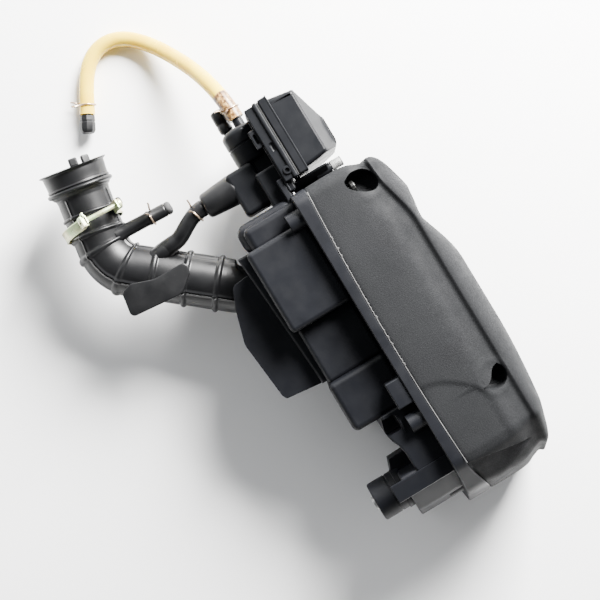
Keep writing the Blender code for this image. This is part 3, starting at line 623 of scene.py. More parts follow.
def torn_flash():
    """The pale, ragged skin left along the cover's edge at the parting line."""
    for name, span, side, seed in (("cover_flash_long", (-139, 104), 131.0, 3),
                                   ("cover_flash_low", (-130, 140), 0.35, 8)):
        bm = bmesh.new()
        rows = []
        upper = side > COVER_MID_Z
        count = 420 if upper else 120
        for i in range(count + 1):
            x = span[0] + (span[1] - span[0]) * i / count
            wave = noise.noise(Vector((x * 0.33, seed, 0))) + 0.6 * noise.noise(Vector((x * 1.7, seed, 4)))
            strong = 0.12 + 0.88 * smooth((x + 118) / 16) * smooth((34 - x) / 22)
            width = 0.2 + max(0.0, wave) * 1.7 * strong
            lift = 0.16 + 0.3 * max(0.0, noise.noise(Vector((x * 0.9, seed, 9)))) * strong
            edge = parting(x) + 0.1
            top = side - 0.75 if upper else side
            way = 1 if upper else -0.4
            rows.append([(x, edge - 0.15, top - way * 0.2),
                         (x, edge + 0.1 - 0.4 * max(0.0, wave), top + way * (0.35 + lift)),
                         (x, edge + width * 0.6, top + way * (0.62 + lift)),
                         (x, edge + width + 0.5, top + way * 0.5)])
        for first, second in zip(rows, rows[1:]):
            a = [bm.verts.new(p) for p in first]
            b = [bm.verts.new(p) for p in second]
            for j in range(3):
                bm.faces.new((a[j], a[j + 1], b[j + 1], b[j]))
            bm.faces.new((a[3], a[0], b[0], b[3]))
        bmesh.ops.remove_doubles(bm, verts=bm.verts, dist=1e-5)
        bmesh.ops.holes_fill(bm, edges=[e for e in bm.edges if e.is_boundary], sides=4)
        bmesh.ops.recalc_face_normals(bm, faces=bm.faces)
        piece(name, bm, "cover_plastic", "cover", angle=50, look=FLASH, flat=False)


# ---------------------------------------------------------------- rear case
EAR_X, EAR_Z = 104, 78                   # axis of the mounting ear, along Y


def side_view(thickness_low, thickness_high, outline, bevel):
    """A prism drawn in X and Z whose thickness runs along Y."""
    turn = Matrix.Rotation(math.radians(90), 4, "X")
    return prism(outline, -thickness_high, -thickness_low, bevel, place=turn)


def rear_case():
    """Stepped tubs on a flanged rim, with the slanted end, the mounting ear and the clip lug."""
    back = -9.0
    layout = [(-122.8, -50.0, -63.6, 120.0, 4.4, 3.6), (-52.0, -0.6, -59.4, 108.0, 4.0, 3.9),
              (-1.6, 42.5, -61.6, 112.0, 5.0, 4.2), (-146.0, -121.0, -62.0, 104.0, 9.0, 10.0)]
    solids, hollows = [], []
    for i, (x0, x1, y0, top, bevel, floor) in enumerate(layout):
        solids.append(cuboid((x0, y0, 0.02 * i), (x1, back + 0.01 * i, top), bevel, 5))
        inner = 2.6 + 0.17 * i
        hollows.append(cuboid((x0 + inner, y0 + inner, floor), (x1 - inner, back + 2, top - inner), 2.0, 1))
    web = [(41.0, -37.5), (56, -41.6), (62, -40.2), (68, -37.6), (76, -35.9), (85, -35.8), (91, -35.4),
           (95.5, -33), (99.0, -25), (102.5, -8), (41.0, -8)]
    solids.append(prism(web, 0.1, 118.0, 1.5, 4))
    hollows.append(cuboid((43.6, -33.0, 4.6), (99.0, back + 2, 98.0), 2.0, 1))
    hollows.append(cuboid((62.0, -32.0, 90.0), (97.0, back + 1.6, 114.8), 2.0, 1))
    solids.append(prism([(-124, -71.3), (-3.6, -64), (-3.6, -55), (-124, -55)], 2.0, 98.0, 3.0, 5))
    hollows.append(prism([(-121, -68.4), (-6.5, -61.3), (-6.5, -50), (-121, -50)], 5.0, 95.2))
    for i, (wall_x, depth) in enumerate(((-51.0, -56.0), (-1.1, -56.5), (41.8, -32.0))):
        hollows.append(cuboid((wall_x - 8, depth, 6.5), (wall_x + 8, -1.5, 97 + i)))
    profile = [(90, 117.5), (106, 115), (124, 97), (136, 60), (141, 8), (90, 8)]
    solids.append(side_view(-50.0, -5.0, rounded(profile, [3, 5, 9, 12, 5, 3], 5), 1.6))
    strip = [(92, 119.6), (106.4, 117.6), (107.6, 114.6), (92, 116)]
    solids.append(side_view(-60.0, -1.0, rounded(strip, [0.6, 0.9, 0.6, 0.6], 2), 0.4))
    inner = [(93, 113), (104, 111.5), (120.5, 95.5), (132.5, 59), (137, 12), (93, 12)]
    hollows.append(side_view(-47.0, 3.0, rounded(inner, [3, 4, 7, 9, 4, 3], 3), 0))
    ear = [(0, 15.2), (0.02, 16.2), (0.06, 16.6), (0.52, 16.6), (0.54, 16.0), (0.57, 16.0), (0.59, 16.6),
           (0.76, 16.6), (0.78, 17.6), (0.9, 17.6), (1, 16.6)]
    solids.append(barrel((EAR_X, -77, EAR_Z), (EAR_X, -48, EAR_Z), ear, 64))
    gusset = [(78, -34), (78.5, -50.5), (88, -54), (100, -52), (100, -34)]
    solids.append(prism(gusset, 60, 82, 0.9, 3))
    solids.append(cuboid((20.0, -23.0, 104), (42.5, -3.0, 129.3), 1.2, 4))
    solids.append(cuboid((-141, -57, 50), (-119, -7, 112), 6.0, 6))
    solids.append(cuboid((-161.5, -12.4, 92.6), (-140.0, -7.0, 102.5), 1.0, 3))
    solids.append(cuboid((46.0, -27.6, 104.0), (60.5, -26.2, 119.4), 0.4, 2))
    flange = skin([rim(0.6, -9.8, follow=0.0), rim(0.0, -9.2, follow=0.05), rim(0.0, -1.1), rim(0.5, -0.15),
                   rim(8.5, -0.15), rim(8.5, -8.0, follow=0.0)])
    split_caps(flange)
    groove = skin([rim(3.2, -3.4), rim(3.2, 6), rim(6.8, 6), rim(6.8, -3.4)], closed=True)
    posts = [rod((x, -22, z), (x, -6, z), 7.6, 0.4) for x, z in WELL_SCREWS]
    cuts = [rod((x, -17, z), (x, 20, z), 2.6, 0, sides=24) for x, z in WELL_SCREWS]
    cuts += [rod((EAR_X, -90, EAR_Z), (EAR_X, -50.5, EAR_Z), 11.0, 0, sides=64),
             rod((-97, -75, 52), (-97, -60, 52), 18.5, 0, sides=48),
             rod((-156, -11.5, 97.5), (-156, 0, 97.5), 1.9, 0),
             cuboid((-86, -76, 81), (-22, -60, 88.5)), cuboid((44, -50, 101), (57.5, -27.8, 130), 1.6, 3)]
    body = carve(flange, ("UNION", solids), ("DIFFERENCE", [groove] + hollows), ("UNION", posts),
                 ("DIFFERENCE", cuts))
    return piece("case_shell", body, "case_plastic", "housing", ["rear_case"], angle=30)


def intake_snorkel():
    """The flat inlet duct behind the case."""
    outline = [(-109, -69.0), (-109, -75), (-107.6, -86), (-90, -93.6), (-62, -101.8), (-11.7, -97),
               (-7.6, -95), (-3.9, -62.8)]
    shape = rounded(outline, [0.5, 2, 5, 12, 12, 2.5, 2.5, 0.5], 6)
    duct = prism(shape, 78.0, 92.0, 1.3, 4)
    duct = carve(duct, ("DIFFERENCE", [cuboid((-84, -120, 80.2), (-24, -60, 89.8), 0.8, 2)]))
    piece("snorkel_shell", duct, "case_plastic", "housing", ["intake_snorkel"], angle=30)


# ---------------------------------------------------------------- intake hose
MOUTH = Vector((-264.4, -150.9, 57.0))
MOUTH_WAY = Vector((0.9848, -0.1736, 0.0))
PORT = Vector((-97.0, -71.3, 52.0))
ELBOW = Vector((-176.0, -166.5, 51.0))
STUB_WAY = (0.0533, 0.9986, 0)
LEG = 20.0                               # from the elbow's corner to either end of its curve
SWING = 34.0                             # half the distance over which the sections turn
STRAIGHT_STEPS, BEND_STEPS, RUN_STEPS, END_STEPS = 66, 48, 52, 24
BEND_MIDDLE = STRAIGHT_STEPS + BEND_STEPS // 2
TURN_START = 150                         # samples past this one follow the line into the port
SURFACE_R = 23.0                         # mean radius that turns degrees round the hose into mm
CUP_BORE = 24.3
LEAN = 10.0                              # degrees that the mouth's sections lean back


def hose_line():
    """Dense centre points of the intake hose with their directions and distances."""
    into = PORT - ELBOW
    into.z = 0
    into.normalize()
    entry, leave = ELBOW - MOUTH_WAY * LEG, ELBOW + into * LEG
    points = [(MOUTH.lerp(entry, i / STRAIGHT_STEPS), MOUTH_WAY.copy())
              for i in range(STRAIGHT_STEPS)]
    for i in range(BEND_STEPS):
        t = i / BEND_STEPS
        points.append((entry * (1 - t) ** 2 + ELBOW * 2 * t * (1 - t) + leave * t * t,
                       ((ELBOW - entry) * (1 - t) + (leave - ELBOW) * t).normalized()))
    turn_at = PORT - into * 26
    turn_at.z = leave.z
    for i in range(RUN_STEPS):
        points.append((leave.lerp(turn_at, i / RUN_STEPS), into.copy()))
    for i in range(END_STEPS + 1):
        t = i / END_STEPS
        points.append((turn_at.lerp(PORT, t), into.lerp(Vector((0, 1, 0)), smooth(t)).normalized()))
    travelled, line = 0.0, []
    for i, (point, way) in enumerate(points):
        travelled += (point - points[i - 1][0]).length if i else 0.0
        line.append((point, way, travelled))
    bend = line[BEND_MIDDLE][2]              # the sections turn more gently than the centre line
    samples = []
    for i, (point, way, s) in enumerate(line):
        share = smooth((s - bend + SWING) / (2 * SWING))
        samples.append((point, way if i > TURN_START else MOUTH_WAY.lerp(into, share).normalized(), way, s))
    return samples


def ridge(distance, half):
    """A rounded bead, 1 on its crest and 0 past half its width."""
    t = abs(distance) / half
    return math.sqrt(1 - t * t) if t < 1 else 0.0


def hose_radius(s, angle):
    """Outside radius at distance s; angle is 0 on top of the hose, in degrees."""
    steps = [(0.0, 29.5), (0.8, 29.4), (1.4, 27.8), (2.4, 26.9), (12, 26.3), (16.4, 26.3), (20.0, 26.2),
             (21.6, 25.0), (23.5, 23.1), (27, 22.6), (400, 22.6)]
    radius = stepped(s, steps) + 2.2 * ridge(s - 18.2, 2.0) + 0.7 * ridge(s - 14.8, 1.0)
    radius += 1.5 * ridge(s - 42.0, 1.5) + 1.7 * ridge(s - 60.0, 1.8)
    for place in (74.0, 99.0, 124.0, 151.0, 178.0):
        radius += 1.9 * ridge(s - place, 2.2)
    seam_on = smooth((s - 24) / 3)
    for seam, gap in ((30.0, 5.4), (-64.0, 5.4)):
        for offset in (-gap / 2, gap / 2):
            across = (angle - seam - offset) * math.pi / 180 * SURFACE_R
            radius += 1.15 * seam_on * ridge(across, 0.85)
    under = abs(abs(angle) - 180) * math.pi / 180 * SURFACE_R
    return radius + 0.6 * seam_on * ridge(under, 0.8)


def intake_hose():
    """The ribbed elbow with its flap, side stub, branch spigot and the lugs on its rim."""
    sides = 168
    line = hose_line()
    dense = []
    for (p0, w0, t0, s0), (p1, w1, t1, s1) in zip(line, line[1:]):
        count = max(1, round((s1 - s0) / 0.62))
        for i in range(count):
            t = i / count
            dense.append((p0.lerp(p1, t), w0.lerp(w1, t).normalized(), t0.lerp(t1, t).normalized(),
                          s0 + (s1 - s0) * t))
    dense.append(line[-1])
    outer, bore = [], []
    for i, (centre, way, tangent, s) in enumerate(dense):
        side = way.cross(UP).normalized()
        lean = math.radians(LEAN) * (1 - smooth(s / 58))
        up = side.cross(way) * math.cos(lean) + way * math.sin(lean)
        side /= max(0.8, way.dot(tangent))
        row = []
        for j in range(sides):
            angle = 360.0 * j / sides - 180.0
            a = math.radians(angle)
            radius = hose_radius(s, angle) * (1 + 0.004 * noise.noise(centre * 0.05 + Vector((a, 0, 0))))
            row.append(centre + (side * math.sin(a) + up * math.cos(a)) * radius)
        outer.append(row)
        if i % 6 == 0 or i == len(dense) - 1:
            inside = CUP_BORE if s < 22 else CUP_BORE - 4.7 * smooth((s - 22) / 5)
            bore.append([centre + (side * math.sin(a) + up * math.cos(a)) * inside
                         for a in (2 * math.pi * j / sides - math.pi for j in range(sides))])
    lip = [Vector(a).lerp(Vector(b), 0.35) - MOUTH_WAY * 0.5 for a, b in zip(outer[0], bore[0])]
    body = skin([lip] + outer + bore[::-1], closed=True)
    rubber("hose_bellows", body, ["intake_hose"])

    flap = [(-151.0, -167.6), (-129.4, -171.2), (-124.6, -124.6), (-136, -111), (-146.5, -106.5),
            (-147.0, -138.5), (-154.0, -157.5)]
    shape = rounded(flap, [5.0, 4.5, 12, 5, 5, 20, 5], 8)
    sheet = split_caps(prism(shape, 73.6, 76.4, 1.1, 4))
    bmesh.ops.subdivide_edges(sheet, edges=[e for e in sheet.edges if e.calc_length() > 6], cuts=2)
    for vert in sheet.verts:
        away = max(0.0, (-150 - vert.co.y) / 22)
        vert.co.z -= 3.0 * away * away + 1.2 * max(0.0, (vert.co.y + 128) / 20)
    rubber("hose_flap", sheet, angle=40)

    stub_way, stub_end = Vector(STUB_WAY), Vector((-193.0, -101.5, 61.0))
    profile = [(0, 7.6), (0.07, 6.9), (0.14, 6.1), (0.2, 5.8), (0.62, 5.75), (0.64, 6.3), (0.67, 6.3),
               (0.69, 5.75), (0.97, 5.75), (0.99, 5.5), (1, 5.0)]
    rubber("hose_stub", barrel(stub_end - stub_way * 46, stub_end, profile, 48), angle=50)
    worn = [(0, 5.3), (0.12, 5.7), (0.5, 5.75), (0.75, 5.3), (0.92, 4.3), (1, 2.6)]
    cap = barrel(stub_end + stub_way * 0.2, stub_end + stub_way * 5.2, worn, 40)
    for vert in cap.verts:
        vert.co += Vector((1, 1, 1)) * 0.35 * noise.noise(vert.co * 0.45)
    cap = merged(cap, rod(stub_end - stub_way * 17, stub_end + stub_way * 0.6, 3.1, 0.3, sides=24))
    piece("stub_stopper", cap, "hose_rubber", "plug", ["stub_plug"], look=WORN, angle=50, flat=False)
    spigot = [(0, 10.5), (0.16, 9.2), (0.34, 8.0), (0.55, 7.5), (0.97, 7.3), (1, 6.8)]
    rubber("branch_spigot", barrel((-161.6, -137.5, 59), (-164.4, -113.0, 66), spigot, 48))

    lugs = []
    for angle in (13, 36):
        out = UP * math.cos(math.radians(angle)) - MOUTH_WAY.cross(UP) * math.sin(math.radians(angle))
        frame_here = Matrix((out.cross(MOUTH_WAY), out, MOUTH_WAY)).transposed().to_4x4()
        tab = cuboid((-3.7, 24.6, -6.4), (3.7, 28.2, 1.0), 1.4, 4)
        place = Matrix.Translation(MOUTH + MOUTH_WAY * 4.2) @ frame_here
        bmesh.ops.transform(tab, matrix=place, verts=tab.verts)
        bmesh.ops.recalc_face_normals(tab, faces=tab.faces)
        lugs.append(tab)
    piece("rim_lugs", merged(*lugs), "hose_rubber", "housing", angle=40)
    lump = cuboid((-221, -133.6, 66), (-214.6, -128.6, 74), 1.8, 4)
    piece("hose_lump", lump, "hose_rubber", "housing", angle=50)


# ---------------------------------------------------------------- screw clamp
CLAMP_CENTRE = MOUTH + MOUTH_WAY * 50.5 + Vector((0, -0.8, 0))
CLAMP_R = 25.2
EAR = 15.0
SCREW_UP = 31.5


def clamp_matrix():
    """Local X across the hose, local Y up, local Z along it; the clamp sits a little askew."""
    axes = Matrix(((0, 0, 1), (1, 0, 0), (0, 1, 0))).to_4x4()
    return Matrix.Translation(CLAMP_CENTRE) @ axes @ Matrix.Rotation(math.radians(-25), 4, "Z")


def at_clamp(bm):
    bmesh.ops.transform(bm, matrix=clamp_matrix(), verts=bm.verts)
    bmesh.ops.recalc_face_normals(bm, faces=bm.faces)
    return bm


def clamp():
    """A flat band with two ears, its screw and its barrel nut."""
    start = math.asin(EAR / (CLAMP_R + 1.2))
    path = []
    count = 120
    for i in range(count + 1):
        a = start + (2 * math.pi - 2 * start) * i / count
        path.append((math.sin(a) * (CLAMP_R + 0.6), math.cos(a) * (CLAMP_R + 0.6)))
    top = path[0][1]
    right = [(EAR - 0.6, 37.0), (EAR - 0.6, 33), (EAR - 0.6, top + 4), (EAR - 0.3, top + 1.6)]
    left = [(-EAR + 0.3, top + 1.6), (-EAR + 0.6, top + 4), (-EAR + 0.6, 33), (-EAR + 0.6, 37.0)]
    line = [Vector((x, y, 0)) for x, y in right + path + left]
    rows = []
    half = 4.6
    for i, point in enumerate(line):
        way = (line[min(i + 1, len(line) - 1)] - line[max(i - 1, 0)]).normalized()
        out = way.cross(UP) * -1
        width = half - (1.2 if i in (0, len(line) - 1) else 0)
        section = [(-width, 0.75), (-width + 0.5, 1.15), (-width + 1.1, 0.72), (width - 1.1, 0.72),
                   (width - 0.5, 1.15), (width, 0.75), (width, -0.1), (width - 0.6, -0.35),
                   (-width + 0.6, -0.35), (-width, -0.1)]
        rows.append([point + UP * w + out * h for w, h in section])
    hole = rod((-40, SCREW_UP, 0), (40, SCREW_UP, 0), 2.4, 0, sides=24)
    band = carve(skin(rows), ("DIFFERENCE", [hole]))
    bmesh.ops.recalc_face_normals(band, faces=band.faces)
    piece("clamp_strap", at_clamp(band), "yellow_zinc", "housing", ["clamp_band"], angle=40, flat=False)

    threads = [(0.0, 1.2), (0.01, 1.9)]
    turns = 26
    for i in range(turns):
        threads += [(0.02 + 0.6 * i / turns, 2.05), (0.02 + 0.6 * (i + 0.5) / turns, 1.72)]
    threads += [(0.63, 2.0), (1.0, 2.0)]
    shank = barrel((-EAR - 5.5, SCREW_UP, 0), (EAR + 2, SCREW_UP, 0), threads, 28)
    head = rod((EAR + 0.3, SCREW_UP, 0), (EAR + 4.3, SCREW_UP, 0), 4.2, 1.0)
    slots = [cuboid((EAR + 3.0, SCREW_UP - a, -b), (EAR + 6, SCREW_UP + a, b))
             for a, b in ((2.7, 0.5), (0.5, 2.7))]
    head = carve(head, ("DIFFERENCE", slots))
    piece("clamp_bolt", at_clamp(merged(shank, head)), "yellow_zinc", "clamp_screw", ["clamp_screw"],
          angle=35, flat=False)
    nut = cuboid((-EAR - 4.4, SCREW_UP - 4.2, -4.6), (-EAR - 0.2, SCREW_UP + 4.0, 4.6), 0.9, 3)
    screw_hole = rod((-EAR - 12, SCREW_UP, 0), (-EAR + 5, SCREW_UP, 0), 2.35, 0, sides=24)
    nut = carve(nut, ("DIFFERENCE", [screw_hole]))
    tongue = cuboid((-EAR - 1.6, SCREW_UP + 1.0, -6.4), (-EAR + 0.2, SCREW_UP + 5.4, -2.8), 0.5, 2)
    loop = sweep([(-EAR - 2.2 + 2.6 * math.cos(a), SCREW_UP + 2.2 + 4.0 * math.sin(a), 4.9)
                  for a in (math.pi * i / 14 for i in range(15))], 0.55, 12)
    nut = at_clamp(merged(nut, tongue, loop))
    piece("clamp_barrel_nut", nut, "yellow_zinc", "housing", ["clamp_nut"], angle=35)


def wire_clamp(name, node, centre, way, radius, ear_way, wire=0.75):
    """A ring of spring wire, short of a full turn, whose two ends stand out as ears."""
    way, out = Vector(way).normalized(), Vector(ear_way).normalized()
    out = (out - way * out.dot(way)).normalized()
    side = way.cross(out)
    centre = Vector(centre)
    ring = []
    for i in range(61):
        angle = math.radians(22 + 316 * i / 60)
        ring.append(centre + (out * math.cos(angle) + side * math.sin(angle)) * radius
                    + way * 2.0 * (i / 60 - 0.5))
    first = [ring[0] + out * 6.6 - way * 1.7 + side * 2.4, ring[0] + out * 4.4 - way * 1.3 + side * 0.7,
             ring[0] + out * 1.7 - way * 0.4]
    last = [ring[-1] + out * 1.7 + way * 0.4, ring[-1] + out * 4.4 + way * 1.3 - side * 0.7,
            ring[-1] + out * 6.6 + way * 1.7 - side * 2.4]
    route = curve_through(first, 4)[:-1] + ring + curve_through(last, 4)[1:]
    return piece(name, sweep(route, wire, 12), "spring_wire", "housing", [node], angle=60, flat=False)


# ---------------------------------------------------------------- breather chamber and its hoses
DUCT = Vector((-176.5, -42.3, 72.0))
STUD_X, STUD_Z = -150.65, 82
STRAP_X, STRAP_Z = -156.0, 97.5


def return_hose():
    """The short hose from the chamber to the intake hose, with its cuff and clamps."""
    route = curve_through([(-176.5, -73.3, 72.0), (-176.4, -78.5, 71.9), (-174.4, -86, 71.6),
                           (-171.4, -92.5, 70.9), (-168.0, -98.8, 69.6), (-165.4, -105.0, 67.9),
                           (-164.45, -112.6, 66.1), (-163.4, -122.0, 62.0), (-161.5, -131.0, 57.0)], 10)
    swell = [(0.0, 6.9), (0.04, 7.2), (0.14, 7.1), (0.3, 6.6), (0.6, 6.8), (1.0, 8.6)]
    rubber("return_tube", sweep(route, lambda t: stepped(t, swell), 48), ["return_hose"])
    profile = [(0, 12.4), (0.03, 13.0), (0.1, 13.1), (0.9, 10.9), (0.95, 10.4), (0.985, 9.2), (1, 7.6)]
    rubber("duct_cuff", barrel(DUCT, (DUCT.x, -73.0, 72.0), profile, 64), ["outlet_duct"], 50)
    wire_clamp("return_ring", "return_clamp", (-175.7, -81.2, 71.9), (0.26, -0.96, 0), 7.9, (-0.7, 0, 1))
    wire_clamp("stub_ring", "stub_clamp", (-193.7, -114.5, 61), STUB_WAY, 6.95, (-0.6, 0, 1))


def breather_base():
    """Back plate, lobed pod, neck, stud boss, two nipples and the strap's lug."""
    plates = [((-223.2, 1.8, 30), (-155.8, 5.6, 108), 1.3, 4),
              ((-222.0, -6.0, 33), (-156.4, 3.4, 106.2), 1.0, 3)]
    lobe = [(0, 11.0), (0.03, 13.4), (0.09, 15.0), (0.16, 15.5), (0.42, 15.5), (0.44, 14.7), (0.47, 14.7),
            (0.49, 15.5), (0.86, 15.5), (0.94, 14.9), (1, 12.6)]
    blocks = [((-219, -30, 45), (-189, -4, 79), 8.0, 5), ((-214, -6.5, 84), (-148.2, -1.0, 102), 1.5, 4),
              ((-213.4, -7.2, 99.6), (-148.6, -5.2, 103.2), 0.7, 3),
              ((-175.5, -24.5, 44), (-143.0, -5, 94), 2.4, 5),
              ((-188.6, -46.5, 58), (-150.0, -20, 85), 4.0, 6),
              ((-191.5, -29, 51), (-170.0, -4.5, 80.6), 2.5, 4),
              ((-173.2, -7.6, 42), (-147.9, -4.2, 94.2), 0.8, 3)]
    web = [(-154.6, 94.5), (-153.2, 94.8), (-146.6, 80.0), (-146.6, 76.4), (-154.6, 76.4)]
    boss = [(0, 4.0), (0.06, 4.6), (0.6, 4.6), (0.96, 4.4), (1, 4.1)]
    nipple = [(0, 6.0), (0.3, 4.7), (0.94, 4.6), (1, 4.1)]
    solids = [cuboid(*size) for size in plates]
    solids.append(barrel((-218.5, -17, 70), (-187, -17, 70), lobe, 72))
    solids += [cuboid(*size) for size in blocks]
    solids += [side_view(-3.0, 30.0, web, 0.6),
               prism([(-154.4, -4), (-161.5, -3), (-154.4, 9)], 79, 85, 0.5, 2),
               barrel((STUD_X, 18, STUD_Z), (STUD_X, 33, STUD_Z), boss, 40),
               barrel((-215, -12.3, 62.0), (-226.9, -12.3, 62.0), nipple, 40),
               rod((-215, -24, 52), (-222.5, -24, 52), 4.2, 0.4),
               cuboid((-206, -12, 97), (-190, -4.6, 104), 0.9, 3),
               barrel((-164, 0.0, 98), (-164, 0.0, 107.6), [(0, 3.6), (0.93, 3.6), (1, 3.0)], 32)]
    x, z = STRAP_X, STRAP_Z
    cuts = [cuboid((-217.5, -4.2, 36), (-163.5, 12, 98), 1.0, 2),
            cuboid((-214, -25, 50), (-194, 0, 74), 4.0, 3), cuboid((-169, -37, 62), (-164.5, -4, 80)),
            rod((STUD_X, 24, STUD_Z), (STUD_X, 40, STUD_Z), 3.3, 0),
            rod((DUCT.x, -50, 72), (DUCT.x, 0, 72), 8.0, 0), rod((x, -20, z), (x, 20, z), 2.0, 0),
            rod((-164, 0, 105.6), (-164, 0, 110), 1.9, 0),
            cuboid((-202.4, -9.8, 100), (-193.6, -7.4, 108), 0.8, 2),
            cuboid((-190.0, -3.0, 104.7), (-181.4, 1.6, 110), 2.2, 4)]
    body = carve(solids[0], ("UNION", solids[1:]), ("DIFFERENCE", cuts))
    piece("chamber_base", body, "breather_plastic", "housing", ["breather_base"], angle=32)


def breather_lid():
    """The chamber's lid, with a slanted facet at either end."""
    lip = cuboid((-223.6, 7.0, 29.6), (-155.9, 15.3, 108.4), 1.5, 4)
    profile = [(-221.4, 13.0), (-217.4, 36.5), (-187.0, 47.7), (-164.5, 46.9), (-161.8, 44.6), (-158.0, 13.0)]
    outline = rounded(profile, [1, 3.4, 6, 3, 2, 1], 7)
    levels = [(2.6, 31.5), (1.3, 32.0), (0.5, 33.0), (0.1, 34.6), (0.0, 37.0), (0.0, 101.0), (0.1, 103.4),
              (0.5, 105.0), (1.3, 106.0), (2.6, 106.5)]
    shell = split_caps(skin([[(x + (-190 - x) * inset / 34, y - (inset if y > 20 else 0), z)
                              for x, y in outline] for inset, z in levels]))
    cuts = []
    for sign, middle in ((1, 111.0), (-1, 27.0)):
        facet = cuboid((-240, -14, -20), (-140, 14, 20), 0)
        place = Matrix.Translation(Vector((0, 55.5, middle)))
        turn = Matrix.Rotation(math.radians(-58 * sign), 4, "X")
        bmesh.ops.transform(facet, matrix=place @ turn, verts=facet.verts)
        cuts.append(facet)
    hollow = cuboid((-217, 2, 36), (-162.5, 34, 102), 2.0, 3)
    bead = cuboid((-224.0, 13.9, 29.2), (-155.7, 15.0, 108.8), 0.45, 3)
    shell = carve(shell, ("DIFFERENCE", cuts))
    sharp = [e for e in shell.edges if len(e.link_faces) == 2 and e.calc_face_angle(0) > math.radians(27)
             and e.verts[0].co.y > 20 and e.verts[1].co.y > 20]
    soften(shell, sharp, 1.7, 3, clamp=False)
    body = carve(lip, ("UNION", [shell, bead]), ("DIFFERENCE", [hollow]))
    piece("chamber_lid", body, "breather_plastic", "breather_cap", ["breather_lid"], angle=28)


def breather_bolt():
    """The stud beside the chamber, the strap's screw and the cap on the second nipple."""
    shank = barrel((STUD_X, 25, STUD_Z), (STUD_X, 34, STUD_Z), [(0, 2.0), (0.03, 2.9), (1, 2.9)], 28)
    ribs = [(0, 4.0), (0.04, 4.4)]
    for i in range(6):
        ribs += [(0.3 + 0.1 * i, 4.4), (0.33 + 0.1 * i, 4.0), (0.37 + 0.1 * i, 4.0)]
    head = barrel((STUD_X, 33.3, STUD_Z), (STUD_X, 43.4, STUD_Z), ribs + [(0.96, 4.35), (1, 3.7)], 40)
    socket = rod((STUD_X, 41, STUD_Z), (STUD_X, 46, STUD_Z), 2.0, 0, sides=6)
    head = carve(head, ("DIFFERENCE", [socket]))
    piece("stud_bolt", merged(shank, head), "screw_steel", "housing", ["breather_bolt"], angle=35, flat=False)
    x, z = STRAP_X, STRAP_Z
    cross = [cuboid((x - 2.4, 0.6, z - 0.4), (x + 2.4, 3, z + 0.4)),
             cuboid((x - 0.4, 0.6, z - 2.4), (x + 0.4, 3, z + 2.4))]
    pin = rod((x, -11, z), (x, -0.6, z), 1.6, 0.3)
    head = barrel((x, -0.7, z), (x, 1.6, z), [(0, 3.5), (0.3, 3.6), (0.75, 2.9), (1, 1.6)], 36)
    screw = merged(pin, carve(head, ("DIFFERENCE", cross)))
    piece("strap_screw", screw, "screw_steel", "housing", ["breather_screw"], angle=35, flat=False)
    profile = [(0, 4.9), (0.04, 5.7), (0.1, 6.0), (0.34, 6.0), (0.37, 5.6), (0.42, 5.6), (0.45, 6.0),
               (0.88, 5.8), (0.96, 5.3), (1, 4.2)]
    rubber("blind_cap", barrel((-222.8, -24, 52), (-243, -24, 52), profile, 48), ["nipple_cap"], 50)


# Free route of the amber hose, from its nipple down to the table and round to its plug.
HOSE_ROUTE = [
    (-227.3, -12.3, 62.0), (-236, -12.6, 61.7), (-245, -13.3, 60.0), (-255, -14.5, 56.5),
    (-265, -16.2, 51.5), (-275, -18.4, 45.5), (-285, -21.2, 38.8), (-295, -24.6, 31.8),
    (-305, -28.6, 24.8), (-315, -33.2, 18.6), (-325, -38.6, 13.6), (-334.5, -45.0, 10.0),
    (-343, -52.6, 7.9), (-349.4, -61.5, 7.1), (-352.6, -71.2, 7.0), (-352.4, -81.2, 7.0),
    (-348.8, -90.6, 7.1), (-342.4, -98.6, 7.4), (-334.2, -105.2, 7.9), (-325.2, -110.8, 8.5),
    (-316.0, -115.9, 8.9), (-306.8, -120.9, 9.0),
]


def amber_hose():
    """The free hose, hollow, with its stained end, plug and two wire clamps."""
    line = curve_through(HOSE_ROUTE, 8)
    rows = rings(line, lambda share, point: 6.72 + 0.08 * noise.noise(point * 0.06), 40)
    rows += rings(line, lambda share, point: 4.7, 40)[::-1]
    hose = piece("drain_hose", skin(rows, closed=True), "amber_vinyl", "housing", ["breather_hose"], angle=60,
                 flat=False)

    sleeve = sweep(line[:22], lambda t: 6.98 - 0.14 * t, 40)
    stain_piece = piece("nipple_stain", sleeve, "amber_vinyl", "housing", look=STAINED, angle=60, flat=False)

    end = Vector(HOSE_ROUTE[-1])
    way = (end - Vector(HOSE_ROUTE[-2])).normalized()
    body = [(0, 5.6), (0.05, 6.3), (0.3, 6.6), (0.34, 6.2), (0.4, 6.2), (0.44, 6.7), (0.8, 6.7), (0.9, 6.3),
            (1, 5.3)]
    plug = merged(barrel(end + way * 0.3, end + way * 16.3, body, 8),
                  rod(end - way * 9, end + way * 1, 3.7, 0.4))
    for vert in plug.verts:
        vert.co.z = max(0.3, vert.co.z)
    plug_piece = rubber("drain_plug", plug, ["hose_plug"], 30)
    ring_a = wire_clamp("nipple_ring", "nipple_clamp", (-237.0, -12.7, 61.6), (-1, 0, 0), 7.75, (0, -0.75, 1))
    ring_b = wire_clamp("plug_ring", "plug_clamp", (-314.6, -116.7, 8.95), (0.88, -0.48, 0), 7.6,
                        (-0.6, -1, 0.35), 0.7)


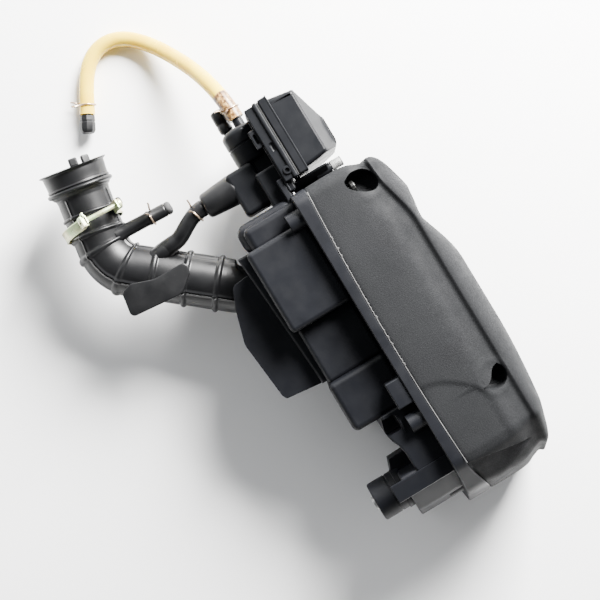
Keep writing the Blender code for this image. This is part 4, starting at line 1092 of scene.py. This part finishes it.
# ---------------------------------------------------------------- ear bush, filter and the rest
def ring_solid(y0, y1, inner, outer, bevel):
    body = rod((EAR_X, y0, EAR_Z), (EAR_X, y1, EAR_Z), outer, bevel, sides=56)
    bore = rod((EAR_X, y0 - 9, EAR_Z), (EAR_X, y1 + 9, EAR_Z), inner, 0, sides=48)
    return carve(body, ("DIFFERENCE", [bore]))


def small_parts():
    """The ear's bush and sleeve, the foam, and the CAD solids that are kept as they are."""
    bush, sleeve = ring_solid(-76, -52, 6.4, 10.7, 0.8), ring_solid(-79, -51.5, 4.2, 6.1, 0.4)
    piece("ear_bush", bush, "seal_rubber", "housing", ["mount_grommet"], angle=40)
    piece("ear_sleeve", sleeve, "screw_steel", "housing", ["mount_sleeve"], angle=40)
    foam = cuboid((-110, -1.5, 24), (86, 16.5, 106), 2.6, 3)
    long_edges = [e for e in foam.edges if e.calc_length() > 15]
    bmesh.ops.subdivide_edges(foam, edges=long_edges, cuts=40, use_grid_fill=True)
    for vert in foam.verts:
        if vert.co.y > 10:
            vert.co.y += 0.9 * noise.noise(vert.co * 0.08) - 0.5
    block = piece("foam_block", foam, "filter_foam", "filter", ["filter_element"], angle=50, flat=False)
    kept = {"cover_seal": "seal_rubber", "breather_seal": "seal_rubber",
            "breather_baffle": "breather_plastic", "filter_frame": "breather_plastic"}
    kept.update({f"cover_screw_{i}": "black_zinc" for i in range(1, 7)})
    for node, slot in kept.items():
        mesh = NODES[node].data
        mesh.materials.clear()
        mesh.materials.append(LOOKS[slot].material)


def table_top():
    bm = bmesh.new()
    bmesh.ops.create_grid(bm, x_segments=1, y_segments=1, size=3.0)
    table = linked("table", bm)
    look = Look("table_white", 0.6)
    look.colour(look.ramp(look.noise(3.0, 3.0), [(0.3, (0.90, 0.905, 0.91)), (0.7, (0.93, 0.932, 0.935))]))
    look.bump(look.noise(900.0, 2.0), 0.05, 0.0001)
    table.data.materials.append(look.material)


camera_and_light()
front_cover()
torn_flash()
rear_case()
intake_snorkel()
intake_hose()
clamp()
return_hose()
breather_base()
breather_lid()
breather_bolt()
amber_hose()
small_parts()
table_top()
